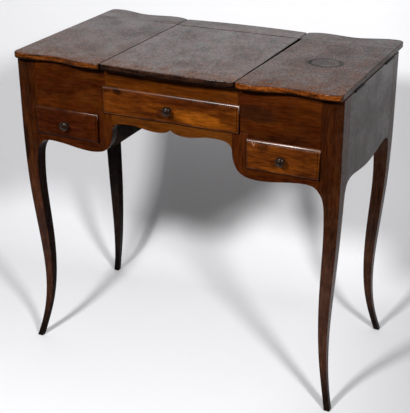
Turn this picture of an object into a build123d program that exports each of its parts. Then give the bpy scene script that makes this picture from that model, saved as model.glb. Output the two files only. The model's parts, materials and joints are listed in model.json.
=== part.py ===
from build123d import *
import os

# Poudreuse dressing table. Millimetres, +Z up, the feet stand on Z = 0, +X to the sitter's right
# seen from the front, -Y towards the sitter. The origin is under the middle of the bounding box.

# ---- carcase -------------------------------------------------------------------------------
CARCASE_WIDTH = 760.0
CARCASE_DEPTH = 384.4
CARCASE_TOP = 719.3
POST_WIDTH = 46.0            # corner post, seen from the front
POST_DEPTH = 42.0            # corner post, seen from the side
FRONT_THICKNESS = 20.0       # every board of the front frame
SIDE_THICKNESS = 18.0
BACK_THICKNESS = 14.0
PARTITION_THICKNESS = 18.0
WALL_INNER_X = 156.0         # kneehole face of each partition
STILE_COVER = 13.0           # how far the stiles reach into the kneehole, past the partitions
WALL_HEIGHT = 188.3          # partitions and back, down from the carcase top
BACK_ARCH_RISE = 72.0
BACK_ARCH_RADIUS = 24.0

# ---- top -----------------------------------------------------------------------------------
TOP_THICKNESS = 15.0
FLAP_GAP = 0.5               # under each flap
SEAM_GAP = 0.8
STRIP_DEPTH = 39.2           # fixed rear strip, measured over the carcase
TOP_ROUND = 2.5              # upper arris of the moulded edges
BOTTOM_ROUND = 4.5           # lower arris of the moulded edges
SEAM_CORNER = 6.0            # plan radius of the flaps beside a seam
OUTER_CORNER = 14.0          # plan radius of the outer corners
CORNER_FALL = 4.0            # how far the shaped edge falls back from its outer lobe to the corner
FRONT_LOBE_OUTER = 19.5      # overhangs of the front edge, from the outer corner to the middle
FRONT_VALLEY = 12.0
FRONT_LOBE_SEAM = 25.5
FRONT_SEAM = 21.0
FRONT_CENTRE = 27.5
REAR_LOBE_OUTER = 43.0       # overhangs of the rear edge, likewise
REAR_VALLEY = 23.0
REAR_LOBE_SEAM = 31.0
REAR_SEAM = 19.0
REAR_CENTRE = 27.0
LOBE_OUTER_IN = 30.0         # how far in from the side the outer lobe lies
VALLEY_IN = 105.0
LOBE_SEAM_OUT = 33.0         # how far out from the seam the inner lobe lies

# ---- front frame -------------------------------------------------------------------------------
TOP_RAIL_HEIGHT = 41.9
CENTRE_OPENING_HEIGHT = 55.9
FRONT_PANEL_HEIGHT = 110.3   # boards above the side drawers
SIDE_OPENING_HEIGHT = 60.0
APRON_HEIGHT = 44.5          # from the centre drawer down to where the kneehole's corner turns upright
APRON_CUSP_RISE = 26.0       # from there up to the cusp
STILE_FOOT_DROP = 25.0       # from the side drawer down to the foot of the stile
FRONT_SHOULDER_DROP = 199.8  # from the carcase top down to where the legs meet the bottom rails
SIDE_SHOULDER_DROP = 193.3   # likewise, where they meet the sides
SIDE_RISE = 9.6              # highest place of the sides' lower edge, above that corner
SIDE_BELLY_DROP = 1.4        # the middle of that edge, below the corner

# Shaped edges, as shares of the piece: along it and up. Of the legs: inset, and share of the height
# of the front shoulder; of the shoulders: inset, and drop below the shoulder.
LEG_OUTER = [(0.0, 1.078), (0.8, 0.943), (4.0, 0.77), (9.9, 0.604), (15.4, 0.452),
             (17.6, 0.331), (15.0, 0.204), (7.5, 0.1), (-5.0, 0.0)]
LEG_INNER = [(33.0, 0.905), (32.2, 0.828), (34.6, 0.683), (38.1, 0.539), (39.0, 0.414),
             (36.4, 0.289), (29.4, 0.177), (19.4, 0.083), (9.0, 0.0)]
FRONT_SHOULDER = [(POST_WIDTH, 0.0), (38.6, 12.5), (34.8, 27.5)]
SIDE_SHOULDER = [(POST_DEPTH, 0.0), (36.6, 14.5), (34.2, 32.0)]
RAIL_CURVE = [(0.065, 0.308), (0.168, 0.417), (0.284, 0.403), (0.568, 0.214), (0.826, 0.078)]
STILE_CURVE = [(0.556, 0.177), (0.844, 0.472)]
APRON_CURVE = [(0.968, 0.292), (0.888, 0.44), (0.755, 0.494), (0.601, 0.485), (0.476, 0.422),
               (0.364, 0.36), (0.224, 0.337), (0.098, 0.391)]
SIDE_CURVE = [(0.093, 0.77), (0.213, 1.0), (0.453, 0.65), (0.746, 0.04)]

# ---- drawers -------------------------------------------------------------------------------
LIP_OVERLAP = 3.0            # the drawer fronts overlap their openings
LIP_SIDE_OVERLAP = 5.0       # the centre drawer overlaps more at its ends
LIP_PROUD = 6.0
LIP_ROUND = 4.0              # quarter round along the lip
LIP_MARGIN = 5.5             # width of the moulding round the raised field
FIELD_RISE = 1.0             # how far the field stands above the moulding
OPENING_CLEARANCE = 0.4
DRAWER_FRONT_BACK = 15.0     # how far a drawer front reaches behind the front plane
DRAWER_SIDE_THICKNESS = 8.0
DRAWER_BACK_THICKNESS = 8.0
DRAWER_BOTTOM_THICKNESS = 5.0
DRAWER_BOTTOM_LIFT = 3.5
GROOVE_DEPTH = 4.0
DRAWER_REAR_SPACE = 35.4     # behind a closed drawer
DOVETAIL_LENGTH = 9.0
DOVETAIL_SLOPE = 0.18
DOVETAIL_PLACES = (0.29, 0.76)         # shares of the drawer's height
DOVETAIL_ROOT = 0.13                   # half width at the root, as a share of the same height
KNOB_DIAMETER = 21.0
KNOB_REACH = 19.0
KNOB_FOOT = 13.0             # ring that sits on the drawer front
KNOB_WAIST = 8.8
KNOB_TIP = 7.6               # small boss on the head
KNOB_SPIGOT = 8.0
KNOB_CLEARANCE = 0.05
RUNNER_SIZE = 12.0
GUIDE_HEIGHT = 15.0
GUIDE_THICKNESS = 5.0        # strips beside the side drawers
FLOOR_THICKNESS = 8.0        # bottom boards of the side boxes
DUST_BOARD_THICKNESS = 6.0   # well floors and compartment floor
DUST_BOARD_LIFT = 1.6        # above the drawer openings

# ---- mirror ----------------------------------------------------------------------------------
MIRROR_WIDTH = 232.0
MIRROR_END_SPACE = 28.6      # from the glass to the front rail and to the rear strip
MIRROR_THICKNESS = 3.0
MIRROR_CLEARANCE = 0.2
BEAD_WIDTH = 12.0
BEAD_COVER = 4.0             # how far the beading covers the glass
BEAD_HEIGHT = 5.0

# ---- hinges ----------------------------------------------------------------------------------
LEAF_THICKNESS = 1.2
SIDE_HINGE_LENGTH = 56.0
SIDE_HINGE_FRONT_IN = 92.2   # middle of the front hinge, from the carcase front
SIDE_HINGE_BACK_IN = 77.2    # middle of the rear hinge, from the carcase back
SIDE_LEAF_WIDTH = 15.0
SIDE_SCREWS_PER_LEAF = 3
SIDE_KNUCKLE_RADIUS = 2.2
SIDE_AXIS_OUT = 0.8
CENTRE_HINGE_LENGTH = 44.0
CENTRE_HINGE_PLACES = (-96.0, 96.0)
CENTRE_LEAF_HEIGHT = 10.0
CENTRE_SCREWS_PER_LEAF = 2
CENTRE_SCREW_DROP = 5.5      # from the pin down to the screws
CENTRE_KNUCKLE_RADIUS = 2.0
CENTRE_AXIS_DEPTH = 1.5
CENTRE_ARRIS = 2.5           # rounded arrises that let the centre flap tip back
PIN_RADIUS = 1.1
PIN_CLEARANCE = 0.04
KNUCKLE_CLEARANCE = 0.3
RECESS_CLEARANCE = 0.05
SCREW_HEAD_RADIUS = 2.3
SCREW_SHANK_RADIUS = 1.1
SCREW_HEAD_DEPTH = 1.1
SCREW_LENGTH = 9.5
SCREW_SLOT = 0.6
SCREW_CLEARANCE = 0.05

# ---- worked out from the sizes above -----------------------------------------------------------
HALF_WIDTH = CARCASE_WIDTH / 2
SHIFT_Y = (FRONT_CENTRE - REAR_LOBE_OUTER) / 2      # puts the bounding box over the origin
FRONT_Y = -CARCASE_DEPTH / 2 + SHIFT_Y
BACK_Y = CARCASE_DEPTH / 2 + SHIFT_Y
POST_INNER_X = HALF_WIDTH - POST_WIDTH
FRONT_INNER_Y = FRONT_Y + FRONT_THICKNESS
BACK_INNER_Y = BACK_Y - BACK_THICKNESS
SIDE_INNER_X = HALF_WIDTH - SIDE_THICKNESS
WALL_OUTER_X = WALL_INNER_X + PARTITION_THICKNESS
WALL_BOTTOM = CARCASE_TOP - WALL_HEIGHT
KNEEHOLE_HALF = WALL_INNER_X - STILE_COVER
CENTRE_OPENING_TOP = CARCASE_TOP - TOP_RAIL_HEIGHT
CENTRE_OPENING_BOTTOM = CENTRE_OPENING_TOP - CENTRE_OPENING_HEIGHT
SIDE_OPENING_TOP = CARCASE_TOP - FRONT_PANEL_HEIGHT
SIDE_OPENING_BOTTOM = SIDE_OPENING_TOP - SIDE_OPENING_HEIGHT
SIDE_OPENING_INNER = WALL_OUTER_X + GUIDE_THICKNESS
FRONT_SHOULDER_Z = CARCASE_TOP - FRONT_SHOULDER_DROP
SIDE_SHOULDER_Z = CARCASE_TOP - SIDE_SHOULDER_DROP
STILE_FOOT_Z = SIDE_OPENING_BOTTOM - STILE_FOOT_DROP
STILE_BEND_Z = CENTRE_OPENING_BOTTOM - APRON_HEIGHT
TABLE_TOP = CARCASE_TOP + TOP_THICKNESS
FLAP_BOTTOM = CARCASE_TOP + FLAP_GAP
STRIP_Y = BACK_Y - STRIP_DEPTH
FLAP_BACK_Y = STRIP_Y - SEAM_GAP
SIDE_AXIS_X = HALF_WIDTH + SIDE_AXIS_OUT
SIDE_AXIS_Z = CARCASE_TOP + FLAP_GAP / 2
CENTRE_AXIS_Y = STRIP_Y - SEAM_GAP / 2
CENTRE_AXIS_Z = TABLE_TOP - CENTRE_AXIS_DEPTH
CENTRE_SCREW_Z = CENTRE_AXIS_Z - CENTRE_SCREW_DROP
SIDE_SCREW_X = HALF_WIDTH - SIDE_THICKNESS / 2
SIDE_HINGE_PLACES = (FRONT_Y + SIDE_HINGE_FRONT_IN, BACK_Y - SIDE_HINGE_BACK_IN)
MIRROR_Y = (FRONT_INNER_Y + STRIP_Y) / 2     # middle of the mirror
MIRROR_DEPTH = STRIP_Y - FRONT_INNER_Y - 2 * MIRROR_END_SPACE
SEAM_X = WALL_INNER_X                        # seams between the side flaps and the centre flap
SEAM_LEFT_EDGE = SEAM_X - SEAM_GAP / 2       # edge of the centre flap
SEAM_RIGHT_EDGE = SEAM_X + SEAM_GAP / 2      # edge of the side flap


def block(x0, x1, y0, y1, z0, z1):
    """A square-cut board between two corners."""
    size = (abs(x1 - x0), abs(y1 - y0), abs(z1 - z0))
    return Pos((x0 + x1) / 2, (y0 + y1) / 2, (z0 + z1) / 2) * Box(*size)


def one_solid(shape):
    """The single solid inside a shape that is known to be one piece."""
    return shape.solids()[0]


def slab(edges, direction, thickness):
    """A board cut to a closed outline of edges and given its thickness along a direction."""
    return one_solid(extrude(Face(Wire(edges)), amount=thickness, dir=direction))


def smooth(points, start, end):
    """Smooth curve through points, leaving and arriving along the given directions."""
    return Spline(*points, tangents=[start, end], tangent_scalars=[1, 1])


def mirrored(shape):
    return mirror(shape, about=Plane.YZ)


def write(name, *shapes):
    """One STEP file for one node, with each of its pieces as a solid of its own."""
    solids = [solid for shape in shapes for solid in shape.solids()]
    export_step(solids[0] if len(solids) == 1 else Compound(children=solids), f"parts/{name}.step")


def write_pair(name, right_shape):
    """A left and a right piece that mirror each other, each in its own node."""
    write(f"{name}_right", right_shape)
    write(f"{name}_left", mirrored(right_shape))


# ---- legs --------------------------------------------------------------------------------------
def leg_profile(shoulder, shoulder_z):
    """Closed outline of a leg and its post in one direction, as (inset, height) pairs."""
    outer = [(inset, share * FRONT_SHOULDER_Z) for inset, share in LEG_OUTER]
    inner = [(inset, shoulder_z - drop) for inset, drop in shoulder]
    inner += [(inset, share * FRONT_SHOULDER_Z) for inset, share in LEG_INNER]
    width = shoulder[0][0]
    outline = [
        Line((0, CARCASE_TOP), outer[0]),
        smooth(outer, (0, -1), (-0.27, -1)),
        Line(outer[-1], inner[-1]),
        smooth(inner, (-0.72, -1), (-0.25, -1)),
        Line(inner[0], (width, CARCASE_TOP)),
        Line((width, CARCASE_TOP), (0, CARCASE_TOP)),
    ]
    return make_face(outline)


def front_right_leg():
    """Square cabriole leg in one piece with its corner post."""
    reach = 2 * POST_WIDTH
    seen_from_front = Plane((HALF_WIDTH, FRONT_Y - reach, 0), x_dir=(-1, 0, 0), z_dir=(0, 1, 0))
    seen_from_side = Plane((HALF_WIDTH - reach, FRONT_Y, 0), x_dir=(0, 1, 0), z_dir=(1, 0, 0))
    front_outline = leg_profile(FRONT_SHOULDER, FRONT_SHOULDER_Z)
    side_outline = leg_profile(SIDE_SHOULDER, SIDE_SHOULDER_Z)
    from_front = extrude(seen_from_front * front_outline, amount=2 * reach)
    from_side = extrude(seen_from_side * side_outline, amount=2 * reach)
    return one_solid(from_front & from_side)


def flipped_back(shape):
    """The same piece at the back of the carcase."""
    return mirror(shape, about=Plane((0, SHIFT_Y, 0), z_dir=(0, 1, 0)))


def post_space(right, front):
    """The block of a corner post, which the boards inside the carcase are notched around."""
    x0, x1 = (POST_INNER_X, HALF_WIDTH) if right else (-HALF_WIDTH, -POST_INNER_X)
    y0, y1 = (FRONT_Y, FRONT_Y + POST_DEPTH) if front else (BACK_Y - POST_DEPTH, BACK_Y)
    return block(x0, x1, y0, y1, 0, CARCASE_TOP)


# ---- front frame -------------------------------------------------------------------------------
STILE_FOOT = (SIDE_OPENING_INNER, STILE_FOOT_Z)      # where the stile meets the bottom rail
STILE_BEND = (KNEEHOLE_HALF, STILE_BEND_Z)           # where the rounded corner turns upright
RAIL_END = (POST_INNER_X, FRONT_SHOULDER_Z)


def on_front(x, z):
    return (x, FRONT_Y, z)


def front_board(outline):
    return slab(outline, (0, 1, 0), FRONT_THICKNESS)


def front_polygon(points):
    corners = [on_front(x, z) for x, z in points]
    return front_board(Polyline(*corners, close=True).edges())


def bottom_rail():
    """Rail under a side drawer, with its shaped lower edge."""
    length = POST_INNER_X - SIDE_OPENING_INNER
    height = SIDE_OPENING_BOTTOM - FRONT_SHOULDER_Z
    curve = [(POST_INNER_X - along * length, FRONT_SHOULDER_Z + up * height) for along, up in RAIL_CURVE]
    points = [on_front(x, z) for x, z in [RAIL_END, *curve, STILE_FOOT]]
    top_end = on_front(POST_INNER_X, SIDE_OPENING_BOTTOM)
    top_start = on_front(SIDE_OPENING_INNER, SIDE_OPENING_BOTTOM)
    return front_board([
        smooth(points, (-0.72, 0, 1), (-1, 0, 0.2)),
        Line(on_front(*STILE_FOOT), top_start),
        Line(top_start, top_end),
        Line(top_end, on_front(*RAIL_END)),
    ])


def kneehole_stile():
    """Upright beside the kneehole, rounded at its lower inner corner."""
    width = SIDE_OPENING_INNER - KNEEHOLE_HALF
    height = STILE_BEND_Z - STILE_FOOT_Z
    curve = [(SIDE_OPENING_INNER - along * width, STILE_FOOT_Z + up * height) for along, up in STILE_CURVE]
    points = [on_front(x, z) for x, z in [STILE_FOOT, *curve, STILE_BEND]]
    top = CENTRE_OPENING_BOTTOM
    upright_top = on_front(KNEEHOLE_HALF, top)
    outer_top = on_front(SIDE_OPENING_INNER, top)
    return front_board([
        smooth(points, (-1, 0, 0.2), (0, 0, 1)),
        Line(on_front(*STILE_BEND), upright_top),
        Line(upright_top, outer_top),
        Line(outer_top, on_front(*STILE_FOOT)),
    ])


def apron():
    """Shaped apron under the centre drawer: two lobes that meet in a cusp."""
    curve = [(along * KNEEHOLE_HALF, STILE_BEND_Z + up * APRON_HEIGHT) for along, up in APRON_CURVE]
    cusp = (0, STILE_BEND_Z + APRON_CUSP_RISE)
    right = [on_front(x, z) for x, z in [STILE_BEND, *curve, cusp]]
    left = [(-x, y, z) for x, y, z in reversed(right)]
    top_right = on_front(KNEEHOLE_HALF, CENTRE_OPENING_BOTTOM)
    top_left = on_front(-KNEEHOLE_HALF, CENTRE_OPENING_BOTTOM)
    return front_board([
        smooth(right, (0, 0, 1), (-0.62, 0, 1)),
        smooth(left, (-0.62, 0, -1), (0, 0, -1)),
        Line(left[-1], top_left),
        Line(top_left, top_right),
        Line(top_right, right[0]),
    ])


def front_panel():
    """Board above a side drawer, notched over the kneehole stile."""
    return front_polygon([
        (WALL_INNER_X, CARCASE_TOP),
        (WALL_INNER_X, CENTRE_OPENING_BOTTOM),
        (SIDE_OPENING_INNER, CENTRE_OPENING_BOTTOM),
        (SIDE_OPENING_INNER, SIDE_OPENING_TOP),
        (POST_INNER_X, SIDE_OPENING_TOP),
        (POST_INNER_X, CARCASE_TOP),
    ])


def top_rail():
    """Rail above the centre drawer."""
    return block(-WALL_INNER_X, WALL_INNER_X, FRONT_Y, FRONT_INNER_Y, CENTRE_OPENING_TOP, CARCASE_TOP)


# ---- sides, back and inside boards -------------------------------------------------------------
def side_panel():
    """Side board with a shaped lower edge, between the two corner posts."""
    front_end = FRONT_Y + POST_DEPTH
    back_end = BACK_Y - POST_DEPTH
    low = SIDE_SHOULDER_Z
    half = (back_end - front_end) / 2
    curve = [(along * half, low + up * SIDE_RISE) for along, up in SIDE_CURVE]
    front_half = [(front_end, low), *[(front_end + inward, z) for inward, z in curve]]
    back_half = [(back_end, low), *[(back_end - inward, z) for inward, z in curve]]
    points = [*front_half, (SHIFT_Y, low - SIDE_BELLY_DROP), *reversed(back_half)]
    outline = [
        smooth([(HALF_WIDTH, y, z) for y, z in points], (0, 0.72, 1), (0, 0.72, -1)),
        Line((HALF_WIDTH, back_end, low), (HALF_WIDTH, back_end, CARCASE_TOP)),
        Line((HALF_WIDTH, back_end, CARCASE_TOP), (HALF_WIDTH, front_end, CARCASE_TOP)),
        Line((HALF_WIDTH, front_end, CARCASE_TOP), (HALF_WIDTH, front_end, low)),
    ]
    return slab(outline, (-1, 0, 0), SIDE_THICKNESS)


def back_board():
    """Back between the rear posts, with an arch behind the kneehole."""
    board = block(-POST_INNER_X, POST_INNER_X, BACK_INNER_Y, BACK_Y, WALL_BOTTOM, CARCASE_TOP)
    arch = Pos(0, (BACK_INNER_Y + BACK_Y) / 2, WALL_BOTTOM) * Box(
        2 * KNEEHOLE_HALF, 2 * BACK_THICKNESS, 2 * BACK_ARCH_RISE)
    arch_corners = arch.edges().filter_by(Axis.Y).group_by(Axis.Z)[-1]
    return one_solid(board - fillet(arch_corners, BACK_ARCH_RADIUS))


def partition():
    """Kneehole wall, which is also the inner wall of the well."""
    return block(WALL_INNER_X, WALL_OUTER_X, FRONT_INNER_Y, BACK_INNER_Y, WALL_BOTTOM, CARCASE_TOP)


def side_box_board(bottom, thickness):
    """Level board between a partition and a side, notched around the posts."""
    board = block(WALL_OUTER_X, SIDE_INNER_X, FRONT_INNER_Y, BACK_INNER_Y, bottom, bottom + thickness)
    return one_solid(board - post_space(True, True) - post_space(True, False))


def compartment_floor():
    bottom = CENTRE_OPENING_TOP + DUST_BOARD_LIFT
    return block(-WALL_INNER_X, WALL_INNER_X, FRONT_INNER_Y, BACK_INNER_Y,
                 bottom, bottom + DUST_BOARD_THICKNESS)


def centre_runner():
    top = CENTRE_OPENING_BOTTOM
    return block(WALL_INNER_X - RUNNER_SIZE, WALL_INNER_X, FRONT_INNER_Y, BACK_INNER_Y,
                 top - RUNNER_SIZE, top)


def side_drawer_guides():
    """The two strips that keep the right side drawer straight."""
    low, high = SIDE_OPENING_BOTTOM, SIDE_OPENING_BOTTOM + GUIDE_HEIGHT
    inner = block(WALL_OUTER_X, SIDE_OPENING_INNER, FRONT_INNER_Y, BACK_INNER_Y, low, high)
    outer = block(POST_INNER_X, SIDE_INNER_X, FRONT_Y + POST_DEPTH, BACK_Y - POST_DEPTH, low, high)
    return [inner, outer]


# ---- hinge parts -------------------------------------------------------------------------------
def along_y(x, y0, y1, z, radius):
    """A round bar that runs along the depth."""
    return Pos(x, (y0 + y1) / 2, z) * Rot(90, 0, 0) * Cylinder(radius, abs(y1 - y0))


def along_x(x0, x1, y, z, radius):
    return Pos((x0 + x1) / 2, y, z) * Rot(0, 90, 0) * Cylinder(radius, abs(x1 - x0))


def knuckle_spans(centre, length, moving):
    """The stretches of barrel that belong to one leaf: the middle third, or both ends."""
    third = length / 3
    low, high = centre - length / 2, centre + length / 2
    if moving:
        return [(low + third + KNUCKLE_CLEARANCE, high - third - KNUCKLE_CLEARANCE)]
    return [(low, low + third), (high - third, high)]


def screw():
    """Countersunk slotted wood screw, head up at Z = 0, shank down."""
    cone = Pos(0, 0, -SCREW_HEAD_DEPTH / 2) * Cone(SCREW_SHANK_RADIUS, SCREW_HEAD_RADIUS, SCREW_HEAD_DEPTH)
    shank_length = SCREW_LENGTH - SCREW_HEAD_DEPTH
    shank = Pos(0, 0, -SCREW_HEAD_DEPTH - shank_length / 2) * Cylinder(SCREW_SHANK_RADIUS, shank_length)
    slot = Box(2 * SCREW_HEAD_RADIUS, SCREW_SLOT, SCREW_HEAD_DEPTH)
    return one_solid(cone + shank - slot)


def screw_hole():
    """The countersunk hole that a screw sits in."""
    gap = SCREW_CLEARANCE
    top, shank = SCREW_HEAD_RADIUS + gap, SCREW_SHANK_RADIUS + gap
    cone = Pos(0, 0, -SCREW_HEAD_DEPTH / 2) * Cone(shank, top, SCREW_HEAD_DEPTH)
    depth = SCREW_LENGTH + gap
    return cone + Pos(0, 0, -depth / 2) * Cylinder(shank, depth)


def screw_places(centre, length, count):
    """Evenly spaced screw positions along a leaf."""
    return [centre + length * ((index + 0.5) / count - 0.5) for index in range(count)]


def side_screw_frames(moving):
    """Where the right flap's hinge screws go: up into the flap, or down into the side."""
    frames = []
    for place in SIDE_HINGE_PLACES:
        for along in screw_places(place, SIDE_HINGE_LENGTH, SIDE_SCREWS_PER_LEAF):
            if moving:
                frames.append(Pos(SIDE_SCREW_X, along, FLAP_BOTTOM) * Rot(180, 0, 0))
            else:
                frames.append(Pos(SIDE_SCREW_X, along, CARCASE_TOP))
    return frames


def centre_screw_frames(moving):
    """Where the centre hinge screws go: forward into the flap, or back into the strip."""
    frames = []
    for place in CENTRE_HINGE_PLACES:
        for along in screw_places(place, CENTRE_HINGE_LENGTH, CENTRE_SCREWS_PER_LEAF):
            if moving:
                frames.append(Pos(along, FLAP_BACK_Y, CENTRE_SCREW_Z) * Rot(-90, 0, 0))
            else:
                frames.append(Pos(along, STRIP_Y, CENTRE_SCREW_Z) * Rot(90, 0, 0))
    return frames


def cut_all(body, frames, cutter):
    for frame in frames:
        body = body - frame * cutter
    return one_solid(body)


def side_leaves(moving):
    """The right flap's two hinge leaves with their knuckles, on the flap or on the side."""
    leaves = []
    inner_x = SIDE_SCREW_X - SIDE_LEAF_WIDTH / 2
    if moving:
        low, high = FLAP_BOTTOM, FLAP_BOTTOM + LEAF_THICKNESS
    else:
        low, high = CARCASE_TOP - LEAF_THICKNESS, CARCASE_TOP
    clear_x = SIDE_AXIS_X - SIDE_KNUCKLE_RADIUS - KNUCKLE_CLEARANCE
    for place in SIDE_HINGE_PLACES:
        start, end = place - SIDE_HINGE_LENGTH / 2, place + SIDE_HINGE_LENGTH / 2
        leaf = block(inner_x, clear_x, start, end, low, high)
        for y0, y1 in knuckle_spans(place, SIDE_HINGE_LENGTH, moving):
            leaf = leaf + block(clear_x, SIDE_AXIS_X, y0, y1, low, high)
            leaf = leaf + along_y(SIDE_AXIS_X, y0, y1, SIDE_AXIS_Z, SIDE_KNUCKLE_RADIUS)
        leaf = leaf - along_y(SIDE_AXIS_X, start, end, SIDE_AXIS_Z, PIN_RADIUS + PIN_CLEARANCE)
        leaves.append(cut_all(leaf, side_screw_frames(moving), screw_hole()))
    return leaves


def centre_leaves(moving):
    """The centre flap's two hinge leaves with their knuckles, on the flap or on the rear strip."""
    leaves = []
    low = CENTRE_AXIS_Z - CENTRE_LEAF_HEIGHT
    reach = CENTRE_KNUCKLE_RADIUS + KNUCKLE_CLEARANCE
    if moving:
        front, back = FLAP_BACK_Y - LEAF_THICKNESS, FLAP_BACK_Y
    else:
        front, back = STRIP_Y, STRIP_Y + LEAF_THICKNESS
    for place in CENTRE_HINGE_PLACES:
        start, end = place - CENTRE_HINGE_LENGTH / 2, place + CENTRE_HINGE_LENGTH / 2
        leaf = block(start, end, front, back, low, CENTRE_AXIS_Z - reach)
        for x0, x1 in knuckle_spans(place, CENTRE_HINGE_LENGTH, moving):
            leaf = leaf + block(x0, x1, front, back, low, CENTRE_AXIS_Z)
            leaf = leaf + along_x(x0, x1, CENTRE_AXIS_Y, CENTRE_AXIS_Z, CENTRE_KNUCKLE_RADIUS)
        leaf = leaf - along_x(start, end, CENTRE_AXIS_Y, CENTRE_AXIS_Z, PIN_RADIUS + PIN_CLEARANCE)
        leaves.append(cut_all(leaf, centre_screw_frames(moving), screw_hole()))
    return leaves


def side_pins():
    pins = []
    for place in SIDE_HINGE_PLACES:
        start, end = place - SIDE_HINGE_LENGTH / 2, place + SIDE_HINGE_LENGTH / 2
        pins.append(along_y(SIDE_AXIS_X, start, end, SIDE_AXIS_Z, PIN_RADIUS))
    return pins


def centre_pins():
    pins = []
    for place in CENTRE_HINGE_PLACES:
        start, end = place - CENTRE_HINGE_LENGTH / 2, place + CENTRE_HINGE_LENGTH / 2
        pins.append(along_x(start, end, CENTRE_AXIS_Y, CENTRE_AXIS_Z, PIN_RADIUS))
    return pins


def side_hinge_recess(low, high):
    """Space that the right flap's hinges take out of the flap's edge or the side's edge."""
    gap = RECESS_CLEARANCE
    inner_x = SIDE_SCREW_X - SIDE_LEAF_WIDTH / 2 - gap
    recesses = []
    for place in SIDE_HINGE_PLACES:
        start = place - SIDE_HINGE_LENGTH / 2 - gap
        end = place + SIDE_HINGE_LENGTH / 2 + gap
        recesses.append(block(inner_x, HALF_WIDTH + OUTER_CORNER, start, end, low, high))
        reach = SIDE_KNUCKLE_RADIUS + KNUCKLE_CLEARANCE
        recesses.append(along_y(SIDE_AXIS_X, start - KNUCKLE_CLEARANCE, end + KNUCKLE_CLEARANCE,
                                SIDE_AXIS_Z, reach))
    return recesses


def centre_hinge_recess(front, back):
    """Space that the centre hinges take out of the flap's rear edge or the strip's front edge."""
    gap = RECESS_CLEARANCE
    low = CENTRE_AXIS_Z - CENTRE_LEAF_HEIGHT - gap
    recesses = []
    for place in CENTRE_HINGE_PLACES:
        start = place - CENTRE_HINGE_LENGTH / 2 - gap
        end = place + CENTRE_HINGE_LENGTH / 2 + gap
        recesses.append(block(start, end, front, back, low, CENTRE_AXIS_Z))
        reach = CENTRE_KNUCKLE_RADIUS + KNUCKLE_CLEARANCE
        recesses.append(along_x(start - KNUCKLE_CLEARANCE, end + KNUCKLE_CLEARANCE,
                                CENTRE_AXIS_Y, CENTRE_AXIS_Z, reach))
    return recesses


def cut_spaces(body, spaces):
    for space in spaces:
        body = body - space
    return one_solid(body)


# ---- top ---------------------------------------------------------------------------------------
def moulded(plate, corners):
    """Rounds the plan corners, then both arrises of the shaped edge between them."""
    for x, y, radius in corners:
        upright = plate.edges().filter_by(Axis.Z).sort_by_distance((x, y, TABLE_TOP))[0]
        plate = plate.fillet(radius, [upright])
    for level, radius in ((0, BOTTOM_ROUND), (-1, TOP_ROUND)):
        rim = plate.edges().group_by(Axis.Z)[level]
        plate = plate.fillet(radius, [edge for edge in rim if edge.geom_type != GeomType.LINE])
    return one_solid(plate)


def side_plate(edge_y, sign, overhangs, inner_y, bottom):
    """Side piece of the top: one shaped edge, front or rear, and three straight ones."""
    lobe_outer, valley, lobe_seam, seam = overhangs
    corner_y = edge_y + sign * (lobe_outer - CORNER_FALL)
    seam_y = edge_y + sign * seam
    shaped = Spline(
        (HALF_WIDTH, corner_y, bottom),
        (HALF_WIDTH - LOBE_OUTER_IN, edge_y + sign * lobe_outer, bottom),
        (HALF_WIDTH - VALLEY_IN, edge_y + sign * valley, bottom),
        (SEAM_X + LOBE_SEAM_OUT, edge_y + sign * lobe_seam, bottom),
        (SEAM_RIGHT_EDGE, seam_y, bottom),
    )
    seam_end = (SEAM_RIGHT_EDGE, inner_y, bottom)
    outer_end = (HALF_WIDTH, inner_y, bottom)
    outline = [shaped, Line(shaped @ 1, seam_end), Line(seam_end, outer_end),
               Line(outer_end, shaped @ 0)]
    plate = slab(outline, (0, 0, 1), TABLE_TOP - bottom)
    return moulded(plate, [(HALF_WIDTH, corner_y, OUTER_CORNER), (SEAM_RIGHT_EDGE, seam_y, SEAM_CORNER)])


def centre_plate(edge_y, sign, overhangs, inner_y, bottom):
    """Centre piece of the top, bowed a little along its shaped edge."""
    seam, centre = overhangs
    seam_y = edge_y + sign * seam
    shaped = Spline(
        (SEAM_LEFT_EDGE, seam_y, bottom),
        (0, edge_y + sign * centre, bottom),
        (-SEAM_LEFT_EDGE, seam_y, bottom),
    )
    left_inner = (-SEAM_LEFT_EDGE, inner_y, bottom)
    right_inner = (SEAM_LEFT_EDGE, inner_y, bottom)
    outline = [shaped, Line(shaped @ 1, left_inner), Line(left_inner, right_inner),
               Line(right_inner, shaped @ 0)]
    plate = slab(outline, (0, 0, 1), TABLE_TOP - bottom)
    return moulded(plate, [(x, seam_y, SEAM_CORNER) for x in (SEAM_LEFT_EDGE, -SEAM_LEFT_EDGE)])


def ease_hinge_arris(plate, y):
    """Rounds the upper arris beside the centre hinges, so that the flap can tip back."""
    edges = [edge for edge in plate.edges().filter_by(Axis.X)
             if abs((edge @ 0.5).Y - y) < 0.01 and abs((edge @ 0.5).Z - TABLE_TOP) < 0.01]
    return one_solid(plate.fillet(CENTRE_ARRIS, edges))


def side_flap():
    overhangs = (FRONT_LOBE_OUTER, FRONT_VALLEY, FRONT_LOBE_SEAM, FRONT_SEAM)
    plate = side_plate(FRONT_Y, -1, overhangs, FLAP_BACK_Y, FLAP_BOTTOM)
    recesses = side_hinge_recess(FLAP_BOTTOM, FLAP_BOTTOM + LEAF_THICKNESS + RECESS_CLEARANCE)
    return cut_all(cut_spaces(plate, recesses), side_screw_frames(True), screw_hole())


def side_strip():
    overhangs = (REAR_LOBE_OUTER, REAR_VALLEY, REAR_LOBE_SEAM, REAR_SEAM)
    return side_plate(BACK_Y, 1, overhangs, STRIP_Y, CARCASE_TOP)


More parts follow.
